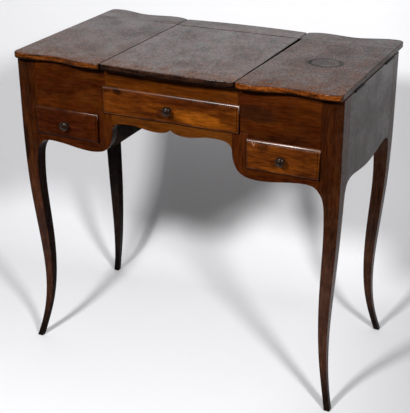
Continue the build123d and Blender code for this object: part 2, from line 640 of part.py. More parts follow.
def centre_flap():
    """Centre flap with a shallow bed for the mirror on its underside."""
    plate = centre_plate(FRONT_Y, -1, (FRONT_SEAM, FRONT_CENTRE), FLAP_BACK_Y, FLAP_BOTTOM)
    plate = ease_hinge_arris(plate, FLAP_BACK_Y)
    bed = Pos(0, MIRROR_Y, FLAP_BOTTOM) * Box(
        MIRROR_WIDTH + 2 * MIRROR_CLEARANCE, MIRROR_DEPTH + 2 * MIRROR_CLEARANCE, 2 * MIRROR_THICKNESS)
    recesses = centre_hinge_recess(FLAP_BACK_Y - LEAF_THICKNESS - RECESS_CLEARANCE, FLAP_BACK_Y)
    return cut_all(cut_spaces(plate, [bed, *recesses]), centre_screw_frames(True), screw_hole())


def centre_strip():
    plate = centre_plate(BACK_Y, 1, (REAR_SEAM, REAR_CENTRE), STRIP_Y, CARCASE_TOP)
    plate = ease_hinge_arris(plate, STRIP_Y)
    recesses = centre_hinge_recess(STRIP_Y, STRIP_Y + LEAF_THICKNESS + RECESS_CLEARANCE)
    return cut_all(cut_spaces(plate, recesses), centre_screw_frames(False), screw_hole())


def mirror_glass():
    return Pos(0, MIRROR_Y, FLAP_BOTTOM + MIRROR_THICKNESS / 2) * Box(
        MIRROR_WIDTH, MIRROR_DEPTH, MIRROR_THICKNESS)


def mirror_beading():
    """Four mitred strips that hold the mirror in the flap."""
    inner_x = MIRROR_WIDTH / 2 - BEAD_COVER
    inner_y = MIRROR_DEPTH / 2 - BEAD_COVER
    outer_x, outer_y = inner_x + BEAD_WIDTH, inner_y + BEAD_WIDTH
    inner = [(-inner_x, -inner_y), (inner_x, -inner_y), (inner_x, inner_y), (-inner_x, inner_y)]
    outer = [(-outer_x, -outer_y), (outer_x, -outer_y), (outer_x, outer_y), (-outer_x, outer_y)]
    strips = []
    for corner in range(4):
        following = (corner + 1) % 4
        points = [inner[corner], inner[following], outer[following], outer[corner]]
        corners = [(x, y + MIRROR_Y, FLAP_BOTTOM) for x, y in points]
        strips.append(slab(Polyline(*corners, close=True).edges(), (0, 0, -1), BEAD_HEIGHT))
    return strips


# ---- drawers -----------------------------------------------------------------------------------
class DrawerSize:
    """Opening of one drawer and the pieces that follow from it."""

    def __init__(self, x0, x1, z0, z1, side_overlap):
        self.opening = (x0, x1, z0, z1)
        self.x0, self.x1 = x0 + OPENING_CLEARANCE, x1 - OPENING_CLEARANCE
        self.z0, self.z1 = z0 + OPENING_CLEARANCE, z1 - OPENING_CLEARANCE
        self.side_overlap = side_overlap
        self.box_back = BACK_INNER_Y - DRAWER_REAR_SPACE
        self.front_back = FRONT_Y + DRAWER_FRONT_BACK
        self.panel_z = self.z0 + DRAWER_BOTTOM_LIFT
        self.middle_x = (x0 + x1) / 2
        self.middle_z = (z0 + z1) / 2


CENTRE_DRAWER = DrawerSize(-WALL_INNER_X, WALL_INNER_X, CENTRE_OPENING_BOTTOM, CENTRE_OPENING_TOP,
                           LIP_SIDE_OVERLAP)
RIGHT_DRAWER = DrawerSize(SIDE_OPENING_INNER, POST_INNER_X, SIDE_OPENING_BOTTOM, SIDE_OPENING_TOP,
                          LIP_OVERLAP)


def dovetails(size):
    """Two tails at the right end of a drawer front, widest at their tips."""
    height = size.z1 - size.z0
    tails = []
    for share in DOVETAIL_PLACES:
        middle = size.z0 + share * height
        root = DOVETAIL_ROOT * height
        tip = root + DOVETAIL_SLOPE * DOVETAIL_LENGTH
        y0, y1 = size.front_back, size.front_back - DOVETAIL_LENGTH
        x0 = size.x1 - DRAWER_SIDE_THICKNESS
        points = [(x0, y0, middle - root), (x0, y1, middle - tip), (x0, y1, middle + tip),
                  (x0, y0, middle + root)]
        tails.append(slab(Polyline(*points, close=True).edges(), (1, 0, 0), DRAWER_SIDE_THICKNESS))
    return tails


def drawer_bottom(size):
    """Thin bottom, held in grooves in the front and the sides."""
    held = DRAWER_SIDE_THICKNESS - GROOVE_DEPTH
    return block(size.x0 + held, size.x1 - held, size.front_back - GROOVE_DEPTH, size.box_back,
                 size.panel_z, size.panel_z + DRAWER_BOTTOM_THICKNESS)


def drawer_sides(size):
    """Both sides of a drawer, grooved for the bottom and dovetailed into the front."""
    right = block(size.x1 - DRAWER_SIDE_THICKNESS, size.x1, size.front_back, size.box_back,
                  size.z0, size.z1)
    for tail in dovetails(size):
        right = right + tail
    right = one_solid(right - drawer_bottom(size))
    left = mirror(right, about=Plane((size.middle_x, 0, 0), z_dir=(1, 0, 0)))
    return [right, left]


def drawer_back(size):
    """Back of a drawer, which stands on the bottom between the sides."""
    return block(size.x0 + DRAWER_SIDE_THICKNESS, size.x1 - DRAWER_SIDE_THICKNESS,
                 size.box_back - DRAWER_BACK_THICKNESS, size.box_back,
                 size.panel_z + DRAWER_BOTTOM_THICKNESS, size.z1 - DRAWER_BOTTOM_LIFT)


def drawer_front(size):
    """Lipped drawer front: a quarter round about a slightly raised field, bored for its knob."""
    x0, x1, z0, z1 = size.opening
    lip_x0, lip_x1 = x0 - size.side_overlap, x1 + size.side_overlap
    lip_z0, lip_z1 = z0 - LIP_OVERLAP, z1 + LIP_OVERLAP
    face_y = FRONT_Y - LIP_PROUD
    lip = block(lip_x0, lip_x1, face_y + FIELD_RISE, FRONT_Y, lip_z0, lip_z1)
    lip = lip.fillet(LIP_ROUND, lip.faces().sort_by(Axis.Y)[0].edges())
    field = block(lip_x0 + LIP_MARGIN, lip_x1 - LIP_MARGIN, face_y, FRONT_Y,
                  lip_z0 + LIP_MARGIN, lip_z1 - LIP_MARGIN)
    inside = block(size.x0, size.x1, FRONT_Y, size.front_back, size.z0, size.z1)
    hole_depth = LIP_PROUD + DRAWER_FRONT_BACK
    hole = along_y(size.middle_x, face_y - hole_depth, face_y + 2 * hole_depth, size.middle_z,
                   KNOB_SPIGOT / 2 + KNOB_CLEARANCE)
    front = lip + field + inside - hole - drawer_bottom(size)
    for side in drawer_sides(size):
        front = front - side
    return one_solid(front)


def drawer_knob(size):
    """Turned knob: a spigot through the front, a foot ring, a waist and a domed head."""
    head, foot, waist, tip = KNOB_DIAMETER / 2, KNOB_FOOT / 2, KNOB_WAIST / 2, KNOB_TIP / 2
    spigot = KNOB_SPIGOT / 2
    through = LIP_PROUD + DRAWER_FRONT_BACK
    foot_top, rim, shoulder = 0.1 * KNOB_REACH, 0.66 * KNOB_REACH, 0.94 * KNOB_REACH
    outline = [
        Line((0, -through), (spigot, -through)),
        Line((spigot, -through), (spigot, 0)),
        Line((spigot, 0), (foot, 0)),
        Line((foot, 0), (foot, foot_top)),
        smooth([(foot, foot_top), (waist, 0.3 * KNOB_REACH), (0.74 * head, 0.5 * KNOB_REACH),
                (head, rim)], (-1, 0.5), (0, 1)),
        smooth([(head, rim), (0.82 * head, 0.84 * KNOB_REACH), (tip, shoulder)], (0, 1), (-1, 0.12)),
        smooth([(tip, shoulder), (0.6 * tip, 0.985 * KNOB_REACH), (0, KNOB_REACH)], (-0.4, 1), (-1, 0)),
        Line((0, KNOB_REACH), (0, -through)),
    ]
    turned = revolve(make_face(outline), axis=Axis.Y)
    place = Pos(size.middle_x, FRONT_Y - LIP_PROUD, size.middle_z)
    return one_solid(place * Rot(180, 0, 0) * turned)


def write_drawer(name, size, flip):
    """All the pieces of one drawer."""
    pieces = {
        "front": [drawer_front(size)],
        "sides": drawer_sides(size),
        "back": [drawer_back(size)],
        "bottom": [drawer_bottom(size)],
        "knob": [drawer_knob(size)],
    }
    for piece, shapes in pieces.items():
        write(f"{name}_drawer_{piece}", *[mirrored(shape) if flip else shape for shape in shapes])


# ---- all the nodes -----------------------------------------------------------------------------
os.makedirs("parts", exist_ok=True)

front_leg = front_right_leg()
write_pair("front_leg", front_leg)
write_pair("rear_leg", flipped_back(front_leg))

right_side = cut_spaces(side_panel(), side_hinge_recess(CARCASE_TOP - LEAF_THICKNESS - RECESS_CLEARANCE,
                                                        CARCASE_TOP + FLAP_GAP))
write_pair("side_panel", cut_all(right_side, side_screw_frames(False), screw_hole()))
write("back_board", back_board())
write_pair("front_panel", front_panel())
write_pair("kneehole_stile", kneehole_stile())
write_pair("bottom_rail", bottom_rail())
write("top_rail", top_rail())
write("apron", apron())
write_pair("partition", partition())
write_pair("well_floor", side_box_board(SIDE_OPENING_TOP + DUST_BOARD_LIFT, DUST_BOARD_THICKNESS))
write_pair("box_bottom", side_box_board(SIDE_OPENING_BOTTOM - FLOOR_THICKNESS, FLOOR_THICKNESS))
write("compartment_floor", compartment_floor())
write("centre_drawer_runners", centre_runner(), mirrored(centre_runner()))
guides = side_drawer_guides()
write("side_drawer_guides", *guides, *[mirrored(guide) for guide in guides])

write_pair("rear_strip", side_strip())
write("rear_strip_centre", centre_strip())
write_pair("side_flap", side_flap())
write("centre_flap", centre_flap())
write("mirror_glass", mirror_glass())
write("mirror_beading", *mirror_beading())

for side, place in (("right", lambda shape: shape), ("left", mirrored)):
    write(f"side_flap_hinge_leaves_{side}", *[place(leaf) for leaf in side_leaves(True)])
    write(f"side_panel_hinge_leaves_{side}", *[place(leaf) for leaf in side_leaves(False)])
    write(f"side_flap_screws_{side}", *[place(frame * screw()) for frame in side_screw_frames(True)])
write("centre_flap_hinge_leaves", *centre_leaves(True))
write("rear_strip_hinge_leaves", *centre_leaves(False))
write("centre_flap_screws", *[frame * screw() for frame in centre_screw_frames(True)])
carcase_screws = [frame * screw() for frame in side_screw_frames(False)]
strip_screws = [frame * screw() for frame in centre_screw_frames(False)]
write("carcase_hinge_screws", *carcase_screws, *[mirrored(one) for one in carcase_screws], *strip_screws)
write("hinge_pins", *side_pins(), *[mirrored(pin) for pin in side_pins()], *centre_pins())

write_drawer("centre", CENTRE_DRAWER, False)
write_drawer("right", RIGHT_DRAWER, False)
write_drawer("left", RIGHT_DRAWER, True)
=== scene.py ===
import json
import math
import bmesh
import bpy
from mathutils import Matrix, Vector

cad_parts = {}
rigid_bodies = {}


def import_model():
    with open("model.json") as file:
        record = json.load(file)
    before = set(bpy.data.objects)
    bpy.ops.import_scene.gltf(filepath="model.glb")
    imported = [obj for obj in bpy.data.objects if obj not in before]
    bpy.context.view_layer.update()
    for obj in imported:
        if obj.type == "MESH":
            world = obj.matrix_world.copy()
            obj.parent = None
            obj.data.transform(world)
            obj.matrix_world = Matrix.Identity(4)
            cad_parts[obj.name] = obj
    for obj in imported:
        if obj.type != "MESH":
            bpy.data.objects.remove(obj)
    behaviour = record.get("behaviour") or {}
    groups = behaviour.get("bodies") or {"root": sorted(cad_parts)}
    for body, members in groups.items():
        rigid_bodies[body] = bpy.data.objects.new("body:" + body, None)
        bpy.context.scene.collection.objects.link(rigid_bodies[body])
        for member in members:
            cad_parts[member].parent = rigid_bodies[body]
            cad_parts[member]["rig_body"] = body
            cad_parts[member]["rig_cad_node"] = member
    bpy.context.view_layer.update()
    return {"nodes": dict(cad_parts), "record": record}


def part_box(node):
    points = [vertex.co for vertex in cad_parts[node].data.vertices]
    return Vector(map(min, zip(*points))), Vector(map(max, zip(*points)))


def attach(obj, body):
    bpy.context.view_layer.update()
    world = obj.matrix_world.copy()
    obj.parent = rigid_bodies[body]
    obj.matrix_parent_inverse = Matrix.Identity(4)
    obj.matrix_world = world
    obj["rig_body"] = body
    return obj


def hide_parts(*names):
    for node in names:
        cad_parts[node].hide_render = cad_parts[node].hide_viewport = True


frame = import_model()
nodes = frame["nodes"]
slots = {part["node"]: part["material_slot"] for part in frame["record"]["subparts"]}
bpy.ops.object.select_all(action="DESELECT")


# camera and studio

cameraView = {
    "place": (0.930, -1.973, 1.333),
    "heading": 25.6,
    "tilt": 24.42,
    "roll": -0.34,
    "focal": 87.4,
}

studio = {
    "floorColour": (0.70, 0.70, 0.715, 1),
    # painted shade: the paper's colour is darkened towards its right side
    "paintedShadeRight": (0.18, 0.86, 1.0, 0.50),       # from this x to that one, the colour goes from full to half
    "turn": 8.4,               # the paper stands a little askew behind the table
    "frontEnd": 0.753,         # how far the paper reaches in front of the table's middle
    "backStart": 0.200,        # where it begins to rise behind it
    "sweepRadius": 0.348,
    "height": 3.0,
    "halfWidth": 4.5,
    "world": 0.05,
    "lamps": {
        "frontLamp": {"place": (-0.297, -1.773, 1.785), "size": 0.27, "power": 50},
        "rightLamp": {"place": (2.052, -1.786, 1.967), "size": 0.41, "power": 83},
    },
    "lampTarget": (0, 0, 0.45),
}


def placeCamera():
    bpy.ops.object.camera_add()
    camera = bpy.context.object
    camera.name = "tableCamera"
    camera.matrix_world = (Matrix.Translation(cameraView["place"])
                           @ Matrix.Rotation(math.radians(cameraView["heading"]), 4, "Z")
                           @ Matrix.Rotation(math.radians(90 - cameraView["tilt"]), 4, "X")
                           @ Matrix.Rotation(math.radians(cameraView["roll"]), 4, "Z"))
    camera.data.lens = cameraView["focal"]
    camera.data.sensor_width = 36
    camera.data.clip_end = 60
    bpy.context.scene.camera = camera
    print("camera placed")


def startEdit(piece):
    bpy.ops.object.select_all(action="DESELECT")
    piece.select_set(True)
    bpy.context.view_layer.objects.active = piece
    bpy.ops.object.mode_set(mode="EDIT")


def endEdit():
    bpy.ops.object.mode_set(mode="OBJECT")


def pick(kind, test):
    # selects the vertices, edges or faces of the piece in edit mode that pass the test
    bpy.ops.mesh.select_mode(type=kind)
    bpy.ops.mesh.select_all(action="DESELECT")
    mesh = bmesh.from_edit_mesh(bpy.context.object.data)
    parts = {"VERT": mesh.verts, "EDGE": mesh.edges, "FACE": mesh.faces}[kind]
    found = 0
    for part in parts:
        if test(part):
            part.select_set(True)
            found += 1
    mesh.select_flush_mode()
    bmesh.update_edit_mesh(bpy.context.object.data)
    return found


def middleOf(edge):
    return (edge.verts[0].co + edge.verts[1].co) / 2


def rub(amount):
    # notes how worn the selected vertices are, for the finish to read
    mesh = bmesh.from_edit_mesh(bpy.context.object.data)
    layer = mesh.verts.layers.float.get("wear") or mesh.verts.layers.float.new("wear")
    for vertex in mesh.verts:
        if vertex.select:
            vertex[layer] = max(vertex[layer], amount)
    bmesh.update_edit_mesh(bpy.context.object.data)


def buildStage():
    # a paper floor that sweeps up behind the table, turned a little askew
    bpy.ops.mesh.primitive_plane_add(size=1)
    paper = bpy.context.object
    paper.name = "paperSweep"
    turn = math.radians(studio["turn"])
    startEdit(paper)
    bpy.ops.transform.resize(value=(2 * studio["halfWidth"], studio["frontEnd"] + studio["backStart"]
                                    + studio["sweepRadius"], 1), center_override=(0, 0, 0))
    middle = (studio["backStart"] + studio["sweepRadius"] - studio["frontEnd"]) / 2
    bpy.ops.transform.translate(value=(0, middle, 0))
    pick("EDGE", lambda edge: middleOf(edge).y > middle + 0.1)
    bpy.ops.mesh.extrude_region_move(TRANSFORM_OT_translate={"value": (0, 0, studio["height"])})
    pick("EDGE", lambda edge: middleOf(edge).z < 0.01 and middleOf(edge).y > middle + 0.1)
    bpy.ops.mesh.bevel(offset=studio["sweepRadius"], segments=32)
    # the face of the paper is the side towards the table
    bpy.ops.mesh.select_all(action="SELECT")
    bpy.ops.mesh.normals_make_consistent(inside=True)
    endEdit()
    paper.matrix_world = Matrix.Rotation(turn, 4, "Z")
    bpy.ops.object.transform_apply(location=True, rotation=True, scale=True)
    bpy.ops.object.shade_smooth()
    paper.data.materials.append(paperFinish())
    print("stage built")


def lightStage():
    for name, lamp in studio["lamps"].items():
        bpy.ops.object.light_add(type="AREA", location=lamp["place"])
        light = bpy.context.object
        light.name = name
        light.data.shape = "DISK"
        light.data.size = lamp["size"]
        light.data.energy = lamp["power"]
        aim = Vector(studio["lampTarget"]) - Vector(lamp["place"])
        light.rotation_euler = aim.to_track_quat("-Z", "Y").to_euler()
    world = bpy.data.worlds.new("studioAir")
    bpy.context.scene.world = world
    world.use_nodes = True
    tree = world.node_tree
    background = tree.nodes["Background"]
    background.inputs["Color"].default_value = (1, 1, 1, 1)
    # plain white to the eye, a soft fill for the wood, and a dark room in front of the table to its polish
    rays = tree.nodes.new("ShaderNodeLightPath")
    direction = tree.nodes.new("ShaderNodeTexCoord")
    away = tree.nodes.new("ShaderNodeVectorMath")
    away.operation = "DOT_PRODUCT"
    turn = math.radians(cameraView["heading"])
    away.inputs[1].default_value = (-math.sin(turn), math.cos(turn), 0.35)
    tree.links.new(direction.outputs["Generated"], away.inputs[0])
    room = mapRange(tree, away.outputs["Value"], -0.35, 0.5, 0.02, 1.0)
    glossy = mixValue(tree, rays.outputs["Is Glossy Ray"], studio["world"], room)
    strength = mixValue(tree, rays.outputs["Is Camera Ray"], glossy, 1.0)
    tree.links.new(strength, background.inputs["Strength"])
    bpy.context.scene.view_settings.view_transform = "Standard"
    print("lamps placed")


# node helpers, shared by every finish

def mapRange(tree, value, fromLow, fromHigh, toLow=0.0, toHigh=1.0):
    node = tree.nodes.new("ShaderNodeMapRange")
    node.interpolation_type = "SMOOTHSTEP"
    tree.links.new(value, node.inputs["Value"])
    limits = {"From Min": fromLow, "From Max": fromHigh, "To Min": toLow, "To Max": toHigh}
    for socket, amount in limits.items():
        node.inputs[socket].default_value = amount
    return node.outputs["Result"]


def setOrLink(tree, socket, value):
    if isinstance(value, bpy.types.NodeSocket):
        tree.links.new(value, socket)
    else:
        socket.default_value = value


def mixValue(tree, factor, first, second):
    node = tree.nodes.new("ShaderNodeMix")
    node.data_type = "FLOAT"
    setOrLink(tree, node.inputs[0], factor)
    setOrLink(tree, node.inputs[2], first)
    setOrLink(tree, node.inputs[3], second)
    return node.outputs[0]


def mixColour(tree, factor, first, second, mode="MIX"):
    node = tree.nodes.new("ShaderNodeMix")
    node.data_type = "RGBA"
    node.blend_type = mode
    setOrLink(tree, node.inputs[0], factor)
    setOrLink(tree, node.inputs[6], first)
    setOrLink(tree, node.inputs[7], second)
    return node.outputs[2]


def calc(tree, operation, first, second=0.0, clamp=False):
    node = tree.nodes.new("ShaderNodeMath")
    node.operation = operation
    node.use_clamp = clamp
    setOrLink(tree, node.inputs[0], first)
    setOrLink(tree, node.inputs[1], second)
    return node.outputs[0]


def times(tree, first, second):
    return calc(tree, "MULTIPLY", first, second)


def tinted(tree, colour, amount):
    return mixColour(tree, 1.0, colour, amount, "MULTIPLY")


def split(tree, vector):
    node = tree.nodes.new("ShaderNodeSeparateXYZ")
    tree.links.new(vector, node.inputs[0])
    return node.outputs


def stretched(tree, vector, amounts):
    node = tree.nodes.new("ShaderNodeVectorMath")
    node.operation = "MULTIPLY"
    tree.links.new(vector, node.inputs[0])
    node.inputs[1].default_value = amounts
    return node.outputs["Vector"]


def noise(tree, vector, scale, detail=3.0, roughness=0.55, distortion=0.0, output="Fac"):
    node = tree.nodes.new("ShaderNodeTexNoise")
    tree.links.new(vector, node.inputs["Vector"])
    for socket, amount in (("Scale", scale), ("Detail", detail), ("Roughness", roughness),
                           ("Distortion", distortion)):
        node.inputs[socket].default_value = amount
    return node.outputs[output]


def rampColour(tree, value, stops):
    node = tree.nodes.new("ShaderNodeValToRGB")
    tree.links.new(value, node.inputs["Fac"])
    ramp = node.color_ramp
    while len(ramp.elements) < len(stops):
        ramp.elements.new(0.5)
    for element, (position, colour) in zip(ramp.elements, stops):
        element.position = position
        element.color = (*colour, 1)
    return node.outputs["Color"]


def newFinish(name):
    finish = bpy.data.materials.new(name)
    finish.use_nodes = True
    return finish, finish.node_tree, finish.node_tree.nodes["Principled BSDF"]


def objectPlace(tree):
    return tree.nodes.new("ShaderNodeTexCoord").outputs["Object"]


def facing(tree):
    return split(tree, tree.nodes.new("ShaderNodeTexCoord").outputs["Normal"])


def bumpFrom(tree, shader, height, strength, distance):
    bump = tree.nodes.new("ShaderNodeBump")
    bump.inputs["Strength"].default_value = strength
    bump.inputs["Distance"].default_value = distance
    tree.links.new(height, bump.inputs["Height"])
    tree.links.new(bump.outputs["Normal"], shader.inputs["Normal"])


def paperFinish():
    finish, tree, shader = newFinish("palePaper")
    place = objectPlace(tree)
    cloud = mapRange(tree, noise(tree, place, 1.3, 2), 0.3, 0.7, 0.985, 1.0)
    # painted shade: the paper greys towards its right side
    tone = times(tree, cloud, mapRange(tree, split(tree, place)["X"], *studio["paintedShadeRight"]))
    tree.links.new(tinted(tree, studio["floorColour"], tone), shader.inputs["Base Color"])
    shader.inputs["Roughness"].default_value = 0.9
    shader.inputs["Specular IOR Level"].default_value = 0.1
    # the paper has one side only, so it doesn't hide the back of the table
    oneSided = tree.nodes.new("ShaderNodeMixShader")
    tree.links.new(tree.nodes.new("ShaderNodeNewGeometry").outputs["Backfacing"], oneSided.inputs[0])
    tree.links.new(shader.outputs["BSDF"], oneSided.inputs[1])
    tree.links.new(tree.nodes.new("ShaderNodeBsdfTransparent").outputs["BSDF"], oneSided.inputs[2])
    tree.links.new(oneSided.outputs["Shader"], tree.nodes["Material Output"].inputs["Surface"])
    return finish


# wood: one recipe, with a look for each part of the table

grainTurns = {"X": (0, 0, 0), "Y": (0, 0, math.pi / 2), "Z": (0, math.pi / 2, 0)}

woodLooks = {
    "faded_top_wood": {
        "dark": (0.008, 0.006, 0.005), "middle": (0.023, 0.013, 0.010), "light": (0.046, 0.022, 0.013),
        "glow": (0.110, 0.032, 0.012), "glowAmount": 0.5, "glowScale": 30, "fleck": 0.6, "matt": 0.7,
        "grime": (0.008, 0.006, 0.006), "grimeAmount": 0.5, "worn": (0.074, 0.026, 0.009),
        "wornAmount": 1.6,
        "gloss": (0.28, 0.42), "pores": 0.5, "relief": 0.3, "specular": 0.41,
        "edge": (0.110, 0.027, 0.0034), "fleckLength": 13, "glowLength": 1.6, "patches": 0.42,
    },
    "side_wood": {
        "dark": (0.004, 0.003, 0.0025), "middle": (0.010, 0.006, 0.0045), "light": (0.018, 0.010, 0.007),
        "glow": (0.022, 0.009, 0.005), "glowAmount": 0.3, "glowScale": 14, "fleck": 0.4, "matt": 0.2,
        "grime": (0.005, 0.003, 0.003), "grimeAmount": 0.5, "worn": (0.040, 0.015, 0.007),
        "wornAmount": 0.5,
        "gloss": (0.24, 0.36), "pores": 0.35, "relief": 0.2, "specular": 0.405,
        "fleckLength": 9, "patches": 0.2,
    },
    "polished_front_wood": {
        "dark": (0.009, 0.0013, 0.0001), "middle": (0.026, 0.0038, 0.0003),
        "light": (0.046, 0.0088, 0.0005),
        "glow": (0.074, 0.0170, 0.0008), "glowAmount": 0.5, "glowScale": 11, "fleck": 0.36, "matt": 0.0,
        "grime": (0.006, 0.0012, 0.0002), "grimeAmount": 0.5, "worn": (0.060, 0.018, 0.004),
        "wornAmount": 0.4,
        "gloss": (0.17, 0.27), "pores": 0.35, "relief": 0.2, "specular": 0.18, "asideShadeLevel": 0.25,
    },
    "figured_drawer_wood": {
        "dark": (0.016, 0.0026, 0.0002), "middle": (0.043, 0.0084, 0.0005),
        "light": (0.082, 0.0200, 0.0010),
        "glow": (0.140, 0.0350, 0.0017), "glowAmount": 0.6, "glowScale": 15, "fleck": 0.46, "matt": 0.0,
        "grime": (0.012, 0.0020, 0.0002), "grimeAmount": 0.45, "worn": (0.070, 0.021, 0.004),
        "wornAmount": 0.4,
        "gloss": (0.22, 0.31), "pores": 0.4, "relief": 0.18, "specular": 0.22,
        "lipPolish": 0.36, "asideShadeLevel": 0.2,
    },
    "dark_leg_wood": {
        "dark": (0.005, 0.0011, 0.0003), "middle": (0.015, 0.0034, 0.0006),
        "light": (0.028, 0.0072, 0.0013),
        "glow": (0.036, 0.0090, 0.0015), "glowAmount": 0.3, "glowScale": 12, "fleck": 0.4, "matt": 0.0,
        "grime": (0.003, 0.0015, 0.0010), "grimeAmount": 0.55, "worn": (0.045, 0.017, 0.007),
        "wornAmount": 0.5,
        "gloss": (0.20, 0.30), "pores": 0.4, "relief": 0.25, "specular": 0.13, "footHeight": 0.15,
    },
    "plain_inside_wood": {
        "dark": (0.070, 0.038, 0.018), "middle": (0.130, 0.076, 0.038), "light": (0.200, 0.122, 0.064),
        "glow": (0.240, 0.145, 0.075), "glowAmount": 0.25, "glowScale": 8, "fleck": 0.25, "matt": 0.0,
        "grime": (0.040, 0.026, 0.017), "grimeAmount": 0.5, "worn": (0.100, 0.060, 0.034),
        "wornAmount": 0.4,
        "gloss": (0.62, 0.80), "pores": 0.6, "relief": 0.45, "specular": 0.3,
    },
}

# boards that differ from their fellows
boardLooks = {
    "side_flap_right": {"specular": 0.25, "gloss": (0.30, 0.46)},
    "rear_strip_right": {"specular": 0.28, "edge": (0.020, 0.009, 0.005)},
    "rear_strip_left": {"edge": (0.020, 0.009, 0.005)},
    "rear_strip_centre": {"edge": (0.020, 0.009, 0.005)},
    "centre_flap": {"edge": (0.016, 0.006, 0.003), "specular": 0.56},
    "side_flap_left": {"edge": (0.085, 0.022, 0.003), "specular": 0.385},
    "left_drawer_front": {"dark": (0.011, 0.0016, 0.0002), "middle": (0.025, 0.0034, 0.0003),
                          "light": (0.045, 0.0082, 0.0006), "glow": (0.056, 0.0110, 0.0007),
                          "specular": 0.17, "fleck": 0.4, "lipPolish": 0.05},
    "right_drawer_front": {"middle": (0.052, 0.0112, 0.0009), "light": (0.096, 0.0245, 0.0020),
                           "glow": (0.135, 0.0340, 0.0020), "lipPolish": 0.6},
    "top_rail": {"middle": (0.050, 0.0110, 0.0007), "light": (0.088, 0.0230, 0.0012)},
    "apron": {"middle": (0.060, 0.0160, 0.0014), "light": (0.092, 0.0270, 0.0026)},
    "front_leg_right": {"middle": (0.022, 0.0043, 0.0006), "light": (0.042, 0.0102, 0.0016),
                        "specular": 0.15},
    "front_leg_left": {"middle": (0.028, 0.0056, 0.0007), "light": (0.056, 0.0135, 0.0016),
                       "specular": 0.10, "asideShadeLevel": 0.15},
    # painted shade: the rear left leg, which stands in shade, is given far darker colours than the other
    # legs
    "rear_leg_left": {"dark": (0.002, 0.001, 0.001), "middle": (0.004, 0.002, 0.0015),
                      "light": (0.007, 0.004, 0.003), "glowAmount": 0.0, "specular": 0.05,
                      "wornAmount": 0.2, "asideShadeLevel": 0.5},
    "rear_leg_right": {"specular": 0.12},
}
# painted shade: the partitions are given far darker and duller colours than the other side boards
for node in ("partition_left", "partition_right"):
    boardLooks[node] = {**woodLooks["side_wood"], "middle": (0.003, 0.002, 0.0015),
                        "light": (0.006, 0.004, 0.003), "glowAmount": 0.0, "specular": 0.03,
                        "gloss": (0.5, 0.7)}
